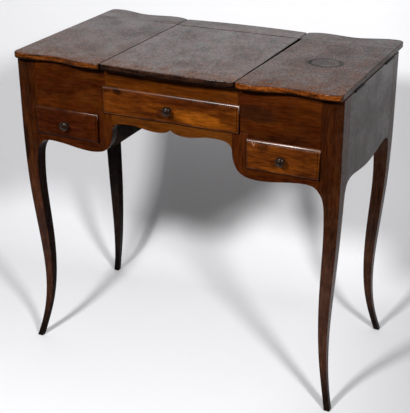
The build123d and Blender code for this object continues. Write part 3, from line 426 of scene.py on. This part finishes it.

# old stains, dark patches and scratches, and painted shade along the drawers' right ends, at their place
# on the table: size is half the mark each way, turn in degrees, ring how wide its rim is where the mark is
# one, dull how much shine it takes
marks = {
    "side_flap_right": [
        {"place": (0.277, -0.016, 0.734), "size": (0.029, 0.025, 0.02), "turn": (0, 0, 0), "ring": 0.30,
         "colour": (0.003, 0.003, 0.003), "amount": 0.95, "dull": 0.72},
        {"place": (0.264, -0.020, 0.734), "size": (0.032, 0.022, 0.02), "turn": (0, 0, 20), "ring": 0,
         "colour": (0.008, 0.007, 0.006), "amount": 0.6, "dull": 0.5},
    ],
    "front_leg_left": [
        {"place": (-0.377, -0.200, 0.515), "size": (0.013, 0.03, 0.045), "turn": (0, 0, 0), "ring": 0,
         "colour": (0.006, 0.0025, 0.0015), "amount": 0.8, "dull": 0.5},
        {"place": (-0.382, -0.200, 0.640), "size": (0.006, 0.03, 0.090), "turn": (0, 0, 0), "ring": 0,
         "colour": (0.008, 0.003, 0.0015), "amount": 0.7, "dull": 0.5},
    ],
    "top_rail": [
        {"place": (-0.110, -0.200, 0.702), "size": (0.050, 0.03, 0.014), "turn": (0, 0, 0), "ring": 0,
         "colour": (0.022, 0.0040, 0.0004), "amount": 0.5},
    ],
    "front_panel_right": [
        {"place": (0.196, -0.200, 0.667), "size": (0.040, 0.03, 0.016), "turn": (0, 8, 0), "ring": 0,
         "colour": (0.010, 0.004, 0.0016), "amount": 0.6},
    ],
    "front_panel_left": [
        {"place": (-0.204, -0.200, 0.650), "size": (0.030, 0.03, 0.014), "turn": (0, -10, 0), "ring": 0,
         "colour": (0.070, 0.020, 0.003), "amount": 0.25, "dull": 0.0},
    ],
    "centre_drawer_front": [
        {"place": (0.070, -0.205, 0.638), "size": (0.056, 0.02, 0.015), "turn": (0, 4, 0), "ring": 0,
         "colour": (0.215, 0.058, 0.0028), "amount": 0.5, "dull": 0.0},
        {"place": (-0.100, -0.205, 0.656), "size": (0.050, 0.02, 0.012), "turn": (0, 0, 0), "ring": 0,
         "colour": (0.030, 0.0050, 0.0004), "amount": 0.45, "dull": 0.1},
        {"place": (0.010, -0.205, 0.666), "size": (0.100, 0.02, 0.006), "turn": (0, 0, 0), "ring": 0,
         "colour": (0.036, 0.0060, 0.0006), "amount": 0.5},
        {"place": (-0.124, -0.205, 0.673), "size": (0.010, 0.02, 0.006), "turn": (0, 12, 0), "ring": 0,
         "colour": (0.008, 0.002, 0.001), "amount": 0.8, "dull": 0.8},
        {"place": (0.098, -0.205, 0.677), "size": (0.018, 0.02, 0.003), "turn": (0, 0, 0), "ring": 0,
         "colour": (0.010, 0.003, 0.001), "amount": 0.8, "dull": 0.8},
        # dark line at the drawer's right end: partly dirt, partly painted shade beside the proud lip
        {"place": (0.1622, -0.203, 0.650), "size": (0.0030, 0.02, 0.032), "turn": (0, 0, 0), "ring": 0,
         "colour": (0.004, 0.001, 0.0005), "amount": 0.9, "dull": 0.9},
    ],
    "right_drawer_front": [
        {"place": (0.192, -0.205, 0.604), "size": (0.0055, 0.02, 0.0009), "turn": (0, 62, 0), "ring": 0,
         "colour": (0.280, 0.150, 0.100), "amount": 0.8, "dull": 0.0},
        {"place": (0.195, -0.205, 0.603), "size": (0.0045, 0.02, 0.0008), "turn": (0, -58, 0), "ring": 0,
         "colour": (0.240, 0.120, 0.080), "amount": 0.6, "dull": 0.0},
        {"place": (0.214, -0.205, 0.600), "size": (0.012, 0.02, 0.010), "turn": (0, 0, 0), "ring": 0,
         "colour": (0.020, 0.005, 0.002), "amount": 0.6},
        # dark line at the drawer's right end: partly dirt, partly painted shade beside the proud lip
        {"place": (0.3382, -0.203, 0.577), "size": (0.0030, 0.02, 0.030), "turn": (0, 0, 0), "ring": 0,
         "colour": (0.004, 0.001, 0.0005), "amount": 0.9, "dull": 0.9},
    ],
    "left_drawer_front": [
        # dark line at the drawer's right end: partly dirt, partly painted shade beside the proud lip
        {"place": (-0.1748, -0.203, 0.577), "size": (0.0030, 0.02, 0.030), "turn": (0, 0, 0), "ring": 0,
         "colour": (0.004, 0.001, 0.0005), "amount": 0.9, "dull": 0.9},
    ],
    "side_panel_right": [
        {"place": (0.380, -0.014, 0.613), "size": (0.01, 0.006, 0.006), "turn": (0, 0, 0), "ring": 0,
         "colour": (0.006, 0.004, 0.003), "amount": 0.8},
    ],
}


def addMark(tree, place, ragged, colour, mark):
    spot = tree.nodes.new("ShaderNodeMapping")
    spot.vector_type = "TEXTURE"
    tree.links.new(place, spot.inputs["Vector"])
    spot.inputs["Location"].default_value = mark["place"]
    spot.inputs["Rotation"].default_value = [math.radians(angle) for angle in mark["turn"]]
    spot.inputs["Scale"].default_value = mark["size"]
    reach = tree.nodes.new("ShaderNodeVectorMath")
    reach.operation = "LENGTH"
    tree.links.new(spot.outputs["Vector"], reach.inputs[0])
    edge = calc(tree, "ADD", reach.outputs["Value"], times(tree, ragged, 0.5))
    if mark["ring"]:
        gap = calc(tree, "ABSOLUTE", calc(tree, "SUBTRACT", edge, 1.2))
        share = mapRange(tree, gap, 0.02, mark["ring"], mark["amount"], 0.0)
    else:
        share = mapRange(tree, edge, 0.75, 1.35, mark["amount"], 0.0)
    return mixColour(tree, share, colour, (*mark["colour"], 1)), share


# the patterns in every board: stretch along and across the grain, then the noise's scale, detail,
# roughness and distortion
grainNoise = {
    "figure": ((1.0, 12), (5, 6, 0.66, 0.25)),
    "fine": ((5, 55), (5, 4, 0.6)),
    "cloud": ((1, 1), (5.5, 3, 0.5)),
    "fleck": ((3.5, 30), (9, 5, 0.72)),
    "pore": ((10, 170), (8, 2)),
    "glow": ((0.5, 2.6), (15, 5, 0.66, 0.2)),
    "grime": ((1, 1), (9, 6, 0.68, 0.4)),
    "gloss": ((1, 1), (16, 5, 0.6)),
    "patches": ((0.6, 1), (11, 6, 0.72, 0.6)),
    "ripple": ((0.5, 1), (14, 2)),
}
toneShares = {"figure": 0.40, "fine": 0.28, "cloud": 0.32}
relief = {"fine": 0.05, "pore": 0.05, "ripple": 1.6, "depth": 0.001}
lipShape = {"from": 0.0062, "to": 0.0040, "roughness": 0.37, "ior": 2.2}
# where the front edge's own colour reaches, and the heights and distances of the painted shade on the
# top's edge: under its lower part and in the seams
edgeShade = {
    "under": (0.7225, 0.7295), "frontOnly": (-0.15, -0.10),
    "seam": 0.156, "seamReach": (0.001, 0.006),
}


def pattern(tree, vector, kind, length=None, scale=None):
    (along, across), settings = grainNoise[kind]
    along = length or along
    if (along, across) != (1, 1):
        vector = stretched(tree, vector, (along, across, across))
    return noise(tree, vector, scale or settings[0], *settings[1:])


def grainSpace(tree, place, grain, shift):
    # the grain's own directions, first straight and then as it wanders a little
    turned = tree.nodes.new("ShaderNodeMapping")
    tree.links.new(place, turned.inputs["Vector"])
    turned.inputs["Rotation"].default_value = grainTurns[grain]
    turned.inputs["Location"].default_value = shift
    straight = turned.outputs["Vector"]
    wander = tree.nodes.new("ShaderNodeVectorMath")
    wander.operation = "MULTIPLY_ADD"
    tree.links.new(noise(tree, straight, 4.5, 3, output="Color"), wander.inputs[0])
    wander.inputs[1].default_value = (0.02, 0.035, 0.035)
    tree.links.new(straight, wander.inputs[2])
    return straight, wander.outputs["Vector"]


def finishLips(tree, shader, place, worn, look, colour, shine):
    # the upper lips of the drawers are waxed by hands; painted shade darkens and dulls the faces that turn
    # sideways or downwards, such as the lower and side lips
    height = split(tree, place)["Z"]
    onLip = mapRange(tree, height, look["lipTop"] - lipShape["from"], look["lipTop"] - lipShape["to"])
    waxed = mapRange(tree, worn, 0.6, 0.95, 0, look["lipPolish"])
    tree.links.new(times(tree, onLip, waxed), shader.inputs["Coat Weight"])
    shader.inputs["Coat Roughness"].default_value = lipShape["roughness"]
    shader.inputs["Coat IOR"].default_value = lipShape["ior"]
    # painted shade on the faces that turn sideways or downwards
    leaning = facing(tree)
    sidewaysShade = mapRange(tree, calc(tree, "ABSOLUTE", leaning["X"]), 0.12, 0.5, 1.0, 0.2)
    paintedLipShade = times(tree, sidewaysShade, mapRange(tree, leaning["Z"], -0.5, -0.08, 0.2, 1.0))
    return tinted(tree, colour, paintedLipShade), times(tree, shine, paintedLipShade)


def paintShadeAside(tree, look, colour, shine):
    # painted shade: faces that turn neither to the front nor upwards, such as end grain and undersides,
    # are darkened and dulled
    leaning = facing(tree)
    forward = mapRange(tree, times(tree, leaning["Y"], -1.0), 0.3, 0.85, look["asideShadeLevel"], 1.0)
    litShare = calc(tree, "MAXIMUM", forward, mapRange(tree, leaning["Z"], 0.1, 0.45))
    return tinted(tree, colour, litShare), times(tree, shine, litShare)


def finishTopEdge(tree, place, cloud, look, colour, shine, gloss):
    # the top's front edge kept more polish and colour than its face; painted shade darkens its lower part,
    # the faces turned downwards and the walls of the seams
    level, leaning = split(tree, place), facing(tree)
    upright = mapRange(tree, leaning["Z"], 0.45, 0.85, 1.0, 0.0)
    front = mapRange(tree, leaning["Y"], -0.75, -0.35, 1.0, 0.0)
    front = times(tree, front, mapRange(tree, level["Y"], *edgeShade["frontOnly"], 1.0, 0.0))
    # painted shade: faces turned downwards, the lower part of the edge and the seam walls go dark
    downShade = mapRange(tree, leaning["Z"], -0.5, -0.08, 0.0, 1.0)
    ragged = calc(tree, "ADD", level["Z"], times(tree, cloud, 0.004))
    under = mapRange(tree, ragged, *edgeShade["under"], 0.16, 1.0)
    fromSeam = calc(tree, "SUBTRACT", calc(tree, "ABSOLUTE", level["X"]), edgeShade["seam"])
    seam = mapRange(tree, calc(tree, "ABSOLUTE", fromSeam), *edgeShade["seamReach"], 0.05, 1.0)
    shade = times(tree, times(tree, under, downShade), seam)
    streaks = noise(tree, stretched(tree, place, (22, 22, 240)), 1, 5, 0.7)
    streaky = mapRange(tree, streaks, 0.36, 0.64, 0.2, 1.6)
    edgeColour = tinted(tree, (*look["edge"], 1), times(tree, shade, streaky))
    onEdge = calc(tree, "MAXIMUM", front, calc(tree, "SUBTRACT", 1.0, seam))
    onEdge = times(tree, upright, onEdge)
    colour = mixColour(tree, times(tree, onEdge, 0.94), colour, edgeColour)
    shine = times(tree, shine, mixValue(tree, onEdge, 1.0, times(tree, shade, 0.45)))
    return colour, shine, mixValue(tree, onEdge, gloss, 0.26)


def woodFinish(name, look, grain, shift, spots=()):
    finish, tree, shader = newFinish(name)
    place = objectPlace(tree)
    straight, vector = grainSpace(tree, place, grain, shift)
    figure, fine = pattern(tree, vector, "figure"), pattern(tree, vector, "fine")
    cloud = pattern(tree, straight, "cloud")
    fleck = pattern(tree, straight, "fleck", length=look.get("fleckLength"))
    pore = mapRange(tree, pattern(tree, vector, "pore"), 0.58, 0.72)
    glow = pattern(tree, vector, "glow", length=look.get("glowLength"), scale=look["glowScale"])
    # bare colour, from the dark lines of the grain to the light ones
    tone = calc(tree, "ADD", times(tree, figure, toneShares["figure"]),
                times(tree, fine, toneShares["fine"]))
    tone = calc(tree, "ADD", tone, times(tree, cloud, toneShares["cloud"]))
    colour = rampColour(tree, tone, [(0.38, look["dark"]), (0.50, look["middle"]), (0.62, look["light"])])
    glow = mapRange(tree, glow, 0.44, 0.68, 0.0, look["glowAmount"])
    colour = mixColour(tree, glow, colour, (*look["glow"], 1))
    # age: grime, open pores and rubbed edges
    grime = mapRange(tree, pattern(tree, straight, "grime"), 0.52, 0.74, 0.0, look["grimeAmount"])
    colour = mixColour(tree, grime, colour, (*look["grime"], 1))
    colour = mixColour(tree, times(tree, pore, look["pores"]), colour, (*look["dark"], 1))
    wear = tree.nodes.new("ShaderNodeAttribute")
    wear.attribute_name = "wear"
    worn = wear.outputs["Fac"]
    rubbed = times(tree, worn, mapRange(tree, noise(tree, place, 45, 4, 0.6), 0.35, 0.62, 0.15, 1.0))
    colour = mixColour(tree, times(tree, rubbed, look["wornAmount"]), colour, (*look["worn"], 1))
    # polish
    gloss = mapRange(tree, pattern(tree, straight, "gloss"), 0.3, 0.7, *look["gloss"])
    gloss = calc(tree, "ADD", gloss, times(tree, pore, 0.12))
    shine = mapRange(tree, fleck, 0.36, 0.62, look["specular"] * (1 + look["fleck"] * 0.75),
                     look["specular"] * (1 - look["fleck"]))
    shine = times(tree, shine, mapRange(tree, grime, 0, 1, 1.0, 0.8))
    shine = times(tree, shine, mapRange(tree, rubbed, 0, 0.55, 1.0, 1 - look["matt"]))
    if "patches" in look:
        uneven = pattern(tree, straight, "patches")
        shine = times(tree, shine, mapRange(tree, uneven, 0.40, 0.66, 1.12, 1 - look["patches"]))
    if "lipPolish" in look:
        colour, shine = finishLips(tree, shader, place, worn, look, colour, shine)
    if "asideShadeLevel" in look:
        colour, shine = paintShadeAside(tree, look, colour, shine)
    if "edge" in look:
        colour, shine, gloss = finishTopEdge(tree, place, cloud, look, colour, shine, gloss)
    if "footHeight" in look:
        # the feet are black from the floor up
        height = calc(tree, "ADD", split(tree, place)["Z"], times(tree, cloud, 0.05))
        black = mapRange(tree, height, 0.04, look["footHeight"], 0.92, 0.0)
        colour = mixColour(tree, black, colour, (*look["grime"], 1))
        shine = times(tree, shine, mapRange(tree, black, 0, 1, 1.0, 0.45))
    for mark in spots:
        colour, share = addMark(tree, place, grime, colour, mark)
        shine = times(tree, shine, mapRange(tree, share, 0, 1, 1.0, 1 - mark.get("dull", 0.3)))
    lively = mapRange(tree, fleck, 0.3, 0.7, 1 + look["fleck"], 1 - look["fleck"])
    tree.links.new(tinted(tree, colour, lively), shader.inputs["Base Color"])
    tree.links.new(gloss, shader.inputs["Roughness"])
    tree.links.new(shine, shader.inputs["Specular IOR Level"])
    height = calc(tree, "SUBTRACT", times(tree, fine, relief["fine"]), times(tree, pore, relief["pore"]))
    height = calc(tree, "ADD", height, times(tree, pattern(tree, straight, "ripple"), relief["ripple"]))
    bumpFrom(tree, shader, height, look["relief"], relief["depth"])
    return finish


def ironFinish(name, dark, rust, gloss):
    finish, tree, shader = newFinish(name)
    place = objectPlace(tree)
    scale = noise(tree, place, 320, 5, 0.65)
    patch = mapRange(tree, noise(tree, place, 90, 4, 0.6), 0.45, 0.62)
    colour = rampColour(tree, scale, [(0.3, [c * 0.6 for c in dark]), (0.7, dark)])
    colour = mixColour(tree, times(tree, patch, 0.7), colour, (*rust, 1))
    tree.links.new(colour, shader.inputs["Base Color"])
    tree.links.new(mapRange(tree, patch, 0, 1, gloss, 0.8), shader.inputs["Roughness"])
    tree.links.new(mapRange(tree, patch, 0, 1, 1.0, 0.15), shader.inputs["Metallic"])
    bumpFrom(tree, shader, scale, 0.4, 0.0004)
    return finish


def knobFinish():
    finish, tree, shader = newFinish("ebonisedKnob")
    place = objectPlace(tree)
    wood = noise(tree, stretched(tree, place, (1, 0.3, 1)), 240, 4, 0.6)
    colour = rampColour(tree, wood, [(0.35, (0.004, 0.002, 0.001)), (0.65, (0.018, 0.008, 0.004))])
    tree.links.new(colour, shader.inputs["Base Color"])
    gloss = mapRange(tree, noise(tree, place, 160, 3), 0.3, 0.7, 0.16, 0.30)
    tree.links.new(gloss, shader.inputs["Roughness"])
    shader.inputs["Specular IOR Level"].default_value = 0.13
    return finish


def mirrorFinish():
    finish, tree, shader = newFinish("oldMirror")
    place = objectPlace(tree)
    spots = mapRange(tree, noise(tree, place, 70, 6, 0.7), 0.66, 0.78)
    clouding = mapRange(tree, noise(tree, place, 9, 4, 0.6), 0.45, 0.75)
    silver = mixColour(tree, clouding, (0.82, 0.84, 0.83, 1), (0.62, 0.61, 0.56, 1))
    tree.links.new(mixColour(tree, spots, silver, (0.030, 0.024, 0.018, 1)), shader.inputs["Base Color"])
    tree.links.new(mapRange(tree, spots, 0, 1, 1.0, 0.3), shader.inputs["Metallic"])
    tree.links.new(mapRange(tree, clouding, 0, 1, 0.03, 0.12), shader.inputs["Roughness"])
    return finish


# which way the grain runs in each board
grainOf = {
    "Z": ["front_leg", "rear_leg", "kneehole_stile", "side_panel"],
    "Y": ["partition", "well_floor", "box_bottom", "side_drawer_guides", "centre_drawer_runners",
          "drawer_sides", "side_flap_right", "side_flap_left", "centre_flap"],
}


def grainFor(node):
    for direction, starts in grainOf.items():
        if any(start in node for start in starts):
            return direction
    return "X"


def finishFor(node, index):
    slot = slots[node]
    if slot in woodLooks:
        # no two boards are cut from the same place
        shift = (0.37 * index, 0.61 * index, 0.23 * index)
        look = {**woodLooks[slot], **boardLooks.get(node, {}), "lipTop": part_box(node)[1].z}
        return woodFinish(f"{node}_{slot}", look, grainFor(node), shift, marks.get(node, ()))
    return metals[slot]


metals = {
    "hinge_iron": ironFinish("hingeIron", (0.010, 0.009, 0.009), (0.016, 0.009, 0.006), 0.5),
    "screw_steel": ironFinish("screwSteel", (0.16, 0.15, 0.14), (0.070, 0.040, 0.024), 0.38),
    "ebonised_knob": knobFinish(),
    "mirror": mirrorFinish(),
}

finishes = {}
for index, node in enumerate(sorted(nodes)):
    finishes[node] = finishFor(node, index)
    nodes[node].data.materials.clear()
    nodes[node].data.materials.append(finishes[node])
print("finishes made")

# pieces

def settle(piece, node):
    # the finished piece takes the node's place, finish and motion
    piece.name = f"{node}Piece"
    piece.data.materials.clear()
    piece.data.materials.append(finishes[node])
    bpy.ops.object.select_all(action="DESELECT")
    piece.select_set(True)
    bpy.context.view_layer.objects.active = piece
    bpy.ops.object.shade_smooth_by_angle(angle=math.radians(40))
    # flat faces stay flat beside their eased edges
    bpy.ops.object.modifier_add(type="WEIGHTED_NORMAL")
    piece.modifiers[-1].keep_sharp = True
    bpy.ops.object.modifier_apply(modifier=piece.modifiers[-1].name)
    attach(piece, nodes[node]["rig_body"])
    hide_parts(node)
    return piece


def copyOf(source, name):
    piece = source.copy()
    piece.data = source.data.copy()
    piece.name = name
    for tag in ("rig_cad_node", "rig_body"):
        if tag in piece:
            del piece[tag]
    bpy.context.scene.collection.objects.link(piece)
    return piece


def isSharp(edge, angle=0.6):
    return len(edge.link_faces) == 2 and edge.calc_face_angle(0) > angle


# legs: a square stem drawn out section by section along the cabriole curve

legShape = {
    "stemSections": 34, "kneeSections": 16,
    "knee": 0.455, "frontShoulder": 0.5195, "sideShoulder": 0.526, "post": (0.545, 0.57),
    "outerArris": 0.0022, "arris": 0.0011, "foot": 0.0026,
}


def spanAt(source, height):
    # how far the leg reaches in x and y at one height
    points = source.data.vertices
    crossings = []
    for edge in source.data.edges:
        low, high = sorted((points[index].co for index in edge.vertices), key=lambda point: point.z)
        if low.z <= height <= high.z and high.z - low.z > 1e-6:
            crossings.append(low.lerp(high, (height - low.z) / (high.z - low.z)))
    xs, ys = [point.x for point in crossings], [point.y for point in crossings]
    return min(xs), max(xs), min(ys), max(ys)


def makeLeg(node):
    source = nodes[node]
    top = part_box(node)[1].z
    stem, knee = legShape["stemSections"], legShape["kneeSections"]
    heights = [legShape["knee"] * step / stem for step in range(stem)]
    heights += [legShape["knee"] + (legShape["frontShoulder"] - legShape["knee"]) * step / knee
                for step in range(knee)]
    heights += [legShape["frontShoulder"], (legShape["frontShoulder"] + legShape["sideShoulder"]) / 2,
                legShape["sideShoulder"], *legShape["post"], top]
    spans = [spanAt(source, min(max(height, 0.0003), top - 0.0003)) for height in heights]
    centres = [Vector(((x0 + x1) / 2, (y0 + y1) / 2, height))
               for (x0, x1, y0, y1), height in zip(spans, heights)]
    widths = [x1 - x0 for x0, x1, y0, y1 in spans]
    depths = [y1 - y0 for x0, x1, y0, y1 in spans]
    bpy.ops.mesh.primitive_cube_add(size=1)
    leg = bpy.context.object
    startEdit(leg)
    bpy.ops.transform.resize(value=(widths[0], depths[0], heights[1]), center_override=(0, 0, 0))
    bpy.ops.transform.translate(value=centres[0] + Vector((0, 0, heights[1] / 2)))
    pick("FACE", lambda face: face.normal.z > 0.9)
    for step in range(1, len(heights)):
        rise = Vector((0, 0, 0 if step == 1 else heights[step] - heights[step - 1]))
        move = centres[step] - centres[step - 1]
        if step > 1:
            bpy.ops.mesh.extrude_region_move(TRANSFORM_OT_translate={"value": (move.x, move.y, rise.z)})
        else:
            bpy.ops.transform.translate(value=(move.x, move.y, 0))
        growth = (widths[step] / widths[step - 1], depths[step] / depths[step - 1], 1)
        bpy.ops.transform.resize(value=growth, center_override=centres[step])
    outX = 1 if centres[-1].x > 0 else -1
    outY = 1 if centres[-1].y > 0 else -1

    def corner(edge):
        spot = middleOf(edge)
        if abs(edge.verts[0].co.z - edge.verts[1].co.z) < 0.6 * edge.calc_length():
            return None
        nearest = min(range(len(heights)), key=lambda index: abs(heights[index] - spot.z))
        return ((spot.x - centres[nearest].x) * outX > 0, (spot.y - centres[nearest].y) * outY > 0)

    pick("EDGE", lambda edge: corner(edge) == (True, True))
    bpy.ops.mesh.bevel(offset=legShape["outerArris"], segments=3)
    rub(0.7)
    pick("EDGE", lambda edge: corner(edge) not in (None, (True, True))
         and middleOf(edge).z < legShape["frontShoulder"] - 0.003)
    bpy.ops.mesh.bevel(offset=legShape["arris"], segments=2)
    rub(0.8)
    pick("EDGE", lambda edge: max(vertex.co.z for vertex in edge.verts) < 0.0002)
    bpy.ops.mesh.bevel(offset=legShape["foot"], segments=3)
    endEdit()
    return settle(leg, node)


for node in ("front_leg_right", "front_leg_left", "rear_leg_right", "rear_leg_left"):
    makeLeg(node)
print("legs made")


# knobs: one turned profile, as radius and reach in front of the drawer's field

knobShape = {
    "behind": 0.021, "steps": 40,
    "profile": [(0, -21), (4, -21), (4, 0), (6.3, 0), (6.6, 0.8), (6.0, 1.9), (4.9, 3.0), (4.4, 5.2),
                (5.2, 7.6), (7.4, 9.4), (9.8, 11.0), (10.5, 12.6), (10.2, 14.2), (8.6, 16.2),
                (6.0, 17.5), (4.2, 17.9), (3.9, 18.3), (2.4, 18.9), (0, 19)],
}


def makeKnob(node):
    low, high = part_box(node)
    axis = Vector(((low.x + high.x) / 2, high.y - knobShape["behind"], (low.z + high.z) / 2))
    outline = [Vector((axis.x + radius / 1000, axis.y - reach / 1000, axis.z))
               for radius, reach in knobShape["profile"]]
    bpy.ops.mesh.primitive_plane_add(size=0.01)
    knob = bpy.context.object
    startEdit(knob)
    bpy.ops.mesh.select_mode(type="VERT")
    bpy.ops.mesh.select_all(action="SELECT")
    bpy.ops.mesh.merge(type="CENTER")
    bpy.ops.transform.translate(value=outline[0])
    for before, after in zip(outline, outline[1:]):
        bpy.ops.mesh.extrude_region_move(TRANSFORM_OT_translate={"value": after - before})
    bpy.ops.mesh.select_all(action="SELECT")
    bpy.ops.mesh.spin(steps=knobShape["steps"], angle=2 * math.pi, center=axis, axis=(0, 1, 0))
    bpy.ops.mesh.select_all(action="SELECT")
    bpy.ops.mesh.remove_doubles(threshold=0.00001)
    bpy.ops.mesh.normals_make_consistent(inside=False)
    endEdit()
    return settle(knob, node)


for node in ("centre_drawer_knob", "left_drawer_knob", "right_drawer_knob"):
    makeKnob(node)
print("knobs made")


# moulding round the mirror: a flat ring, cut at its mitres and drawn down

mouldingShape = {"width": 0.012, "round": 0.0022, "mitre": 0.0003}


def makeMoulding(node):
    low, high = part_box(node)
    centre = (low + high) / 2
    bpy.ops.mesh.primitive_plane_add(size=1)
    ring = bpy.context.object
    startEdit(ring)
    bpy.ops.transform.resize(value=(high.x - low.x, high.y - low.y, 1), center_override=(0, 0, 0))
    bpy.ops.transform.translate(value=(centre.x, centre.y, high.z))
    bpy.ops.mesh.inset(thickness=mouldingShape["width"])
    bpy.ops.mesh.delete(type="FACE")
    pick("EDGE", lambda edge: abs(abs(edge.verts[0].co.x - edge.verts[1].co.x)
                                  - abs(edge.verts[0].co.y - edge.verts[1].co.y)) < 0.0001)
    bpy.ops.mesh.edge_split(type="EDGE")
    bpy.ops.mesh.select_all(action="SELECT")
    bpy.ops.mesh.extrude_region_move(TRANSFORM_OT_translate={"value": (0, 0, low.z - high.z)})
    bpy.ops.mesh.select_all(action="SELECT")
    bpy.ops.mesh.normals_make_consistent(inside=False)
    isLow = lambda edge: max(vertex.co.z for vertex in edge.verts) < low.z + 0.0001
    onMitre = lambda edge: abs(abs(edge.verts[0].co.x - edge.verts[1].co.x)
                               - abs(edge.verts[0].co.y - edge.verts[1].co.y)) < 0.0001
    pick("EDGE", lambda edge: isLow(edge) and onMitre(edge))
    bpy.ops.mesh.bevel(offset=mouldingShape["mitre"], segments=1)
    pick("EDGE", lambda edge: isLow(edge) and isSharp(edge, 1.2) and not onMitre(edge)
         and edge.calc_length() > 0.1)
    bpy.ops.mesh.bevel(offset=mouldingShape["round"], segments=3)
    rub(0.5)
    endEdit()
    return settle(ring, node)


makeMoulding("mirror_beading")
print("moulding made")


# boards, drawer parts and flaps: sawn shapes with their arrises eased by hand

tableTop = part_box("centre_flap")[1].z
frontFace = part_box("top_rail")[0].y
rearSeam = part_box("rear_strip_centre")[0].y


def cleaned(node):
    piece = copyOf(nodes[node], f"{node}Piece")
    startEdit(piece)
    bpy.ops.mesh.select_all(action="SELECT")
    bpy.ops.mesh.remove_doubles(threshold=0.000005)
    bpy.ops.mesh.dissolve_limited(angle_limit=math.radians(0.1))
    bpy.ops.mesh.normals_make_consistent(inside=False)
    return piece


def easeEdges(test, offset, segments, wear):
    found = pick("EDGE", test)
    if found:
        bpy.ops.mesh.bevel(offset=offset, segments=segments, clamp_overlap=True, loop_slide=False)
        rub(wear)
    return found


def makeBoard(node, offset=0.0005):
    piece = cleaned(node)
    # all edges but those of the small cuts for hinges and screws
    easeEdges(lambda edge: isSharp(edge, 1.0) and edge.calc_length() > (0.006 if middleOf(edge).z > 0.69
              else 0.0008), offset, 2, 0.5)
    endEdit()
    return settle(piece, node)


for node in ("top_rail", "front_panel_left", "front_panel_right", "kneehole_stile_left",
             "kneehole_stile_right", "bottom_rail_left", "bottom_rail_right", "apron", "side_panel_left",
             "side_panel_right", "back_board", "partition_left", "partition_right", "well_floor_left",
             "well_floor_right", "box_bottom_left", "box_bottom_right", "compartment_floor",
             "centre_drawer_runners", "side_drawer_guides"):
    makeBoard(node)
print("boards made")


def makeDrawerFront(node):
    piece = cleaned(node)
    low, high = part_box(node)
    middle = (low + high) / 2
    nearHole = lambda spot: math.hypot(spot.x - middle.x, spot.z - middle.z) < 0.009
    easeEdges(lambda edge: isSharp(edge, 0.5) and max(vertex.co.y for vertex in edge.verts)
              < frontFace - 0.0045 and not nearHole(middleOf(edge)), 0.0012, 4, 0.3)
    pick("VERT", lambda vertex: vertex.co.y < frontFace - 0.0005 and vertex.co.z > high.z - 0.0045)
    rub(1.0)
    endEdit()
    return settle(piece, node)


for name in ("centre_drawer", "left_drawer", "right_drawer"):
    makeDrawerFront(f"{name}_front")
    for part in ("sides", "back", "bottom"):
        makeBoard(f"{name}_{part}", 0.0004)
print("drawers made")


topShape = {
    "arris": 0.0022, "seamArris": 0.0004, "corner": 0.0050, "wearWidth": 0.075, "seamOpening": 0.0062,
    "cuts": (0.004, 0.010, 0.018, 0.028, 0.045),      # where the face is divided, in from each edge
}


def makeTop(node):
    piece = cleaned(node)
    low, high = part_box(node)
    # knocked corners where the seams reach the front
    easeEdges(lambda edge: isSharp(edge, 0.9) and abs(edge.verts[0].co.z - edge.verts[1].co.z) > 0.003
              and abs(abs(middleOf(edge).x) - 0.156) < 0.002 and middleOf(edge).y < frontFace,
              topShape["corner"], 4, 0.0)
    onTop = lambda edge: (isSharp(edge, 0.9)
                          and min(vertex.co.z for vertex in edge.verts) > tableTop - 0.0002)
    inSeam = lambda edge: all(abs(abs(vertex.co.x) - 0.156) < 0.0012 for vertex in edge.verts) or all(
        abs(vertex.co.y - rearSeam) < 0.0012 for vertex in edge.verts)
    easeEdges(lambda edge: onTop(edge) and not inSeam(edge), topShape["arris"], 4, 0.0)
    easeEdges(lambda edge: onTop(edge) and inSeam(edge), topShape["seamArris"], 2, 0.0)
    if node == "side_flap_right":
        # this board has shrunk: its seam opens towards the rear
        pick("VERT", lambda vertex: vertex.co.x < low.x + 0.003 and vertex.co.y > 0)
        bpy.ops.transform.translate(value=(topShape["seamOpening"], 0, 0))
    onFace = lambda face: face.normal.z > 0.99 and face.calc_center_median().z > tableTop - 0.0001
    width = high.x - low.x
    across = [low.x + cut for cut in topShape["cuts"]] + [high.x - cut for cut in topShape["cuts"]]
    across += [low.x + width * step / 8 for step in range(2, 7)]
    along = [high.y - cut for cut in topShape["cuts"]] + [low.y + 0.004 * step for step in range(1, 16)]
    for places, direction in ((across, Vector((1, 0, 0))), (along, Vector((0, 1, 0)))):
        for place in places:
            if direction.dot(low) + 0.001 < place < direction.dot(high) - 0.001:
                pick("FACE", onFace)
                bpy.ops.mesh.bisect(plane_co=direction * place, plane_no=direction)
    # wear fades away from the edges that hands and sleeves rub
    mesh = bmesh.from_edit_mesh(piece.data)
    layer = mesh.verts.layers.float.get("wear") or mesh.verts.layers.float.new("wear")
    rim = [vertex.co.copy() for vertex in mesh.verts
           if tableTop - 0.006 < vertex.co.z < tableTop - 0.0001 and vertex.co.y < frontFace + 0.004]
    for vertex in mesh.verts:
        if vertex.co.z > tableTop - 0.0001 and rim:
            near = min((spot.xy - vertex.co.xy).length for spot in rim)
            vertex[layer] = max(0.0, 1 - near / topShape["wearWidth"])
    bmesh.update_edit_mesh(piece.data)
    endEdit()
    return settle(piece, node)


for node in ("side_flap_left", "side_flap_right", "centre_flap", "rear_strip_left", "rear_strip_right",
             "rear_strip_centre"):
    makeTop(node)
print("top made")


placeCamera()
buildStage()
lightStage()
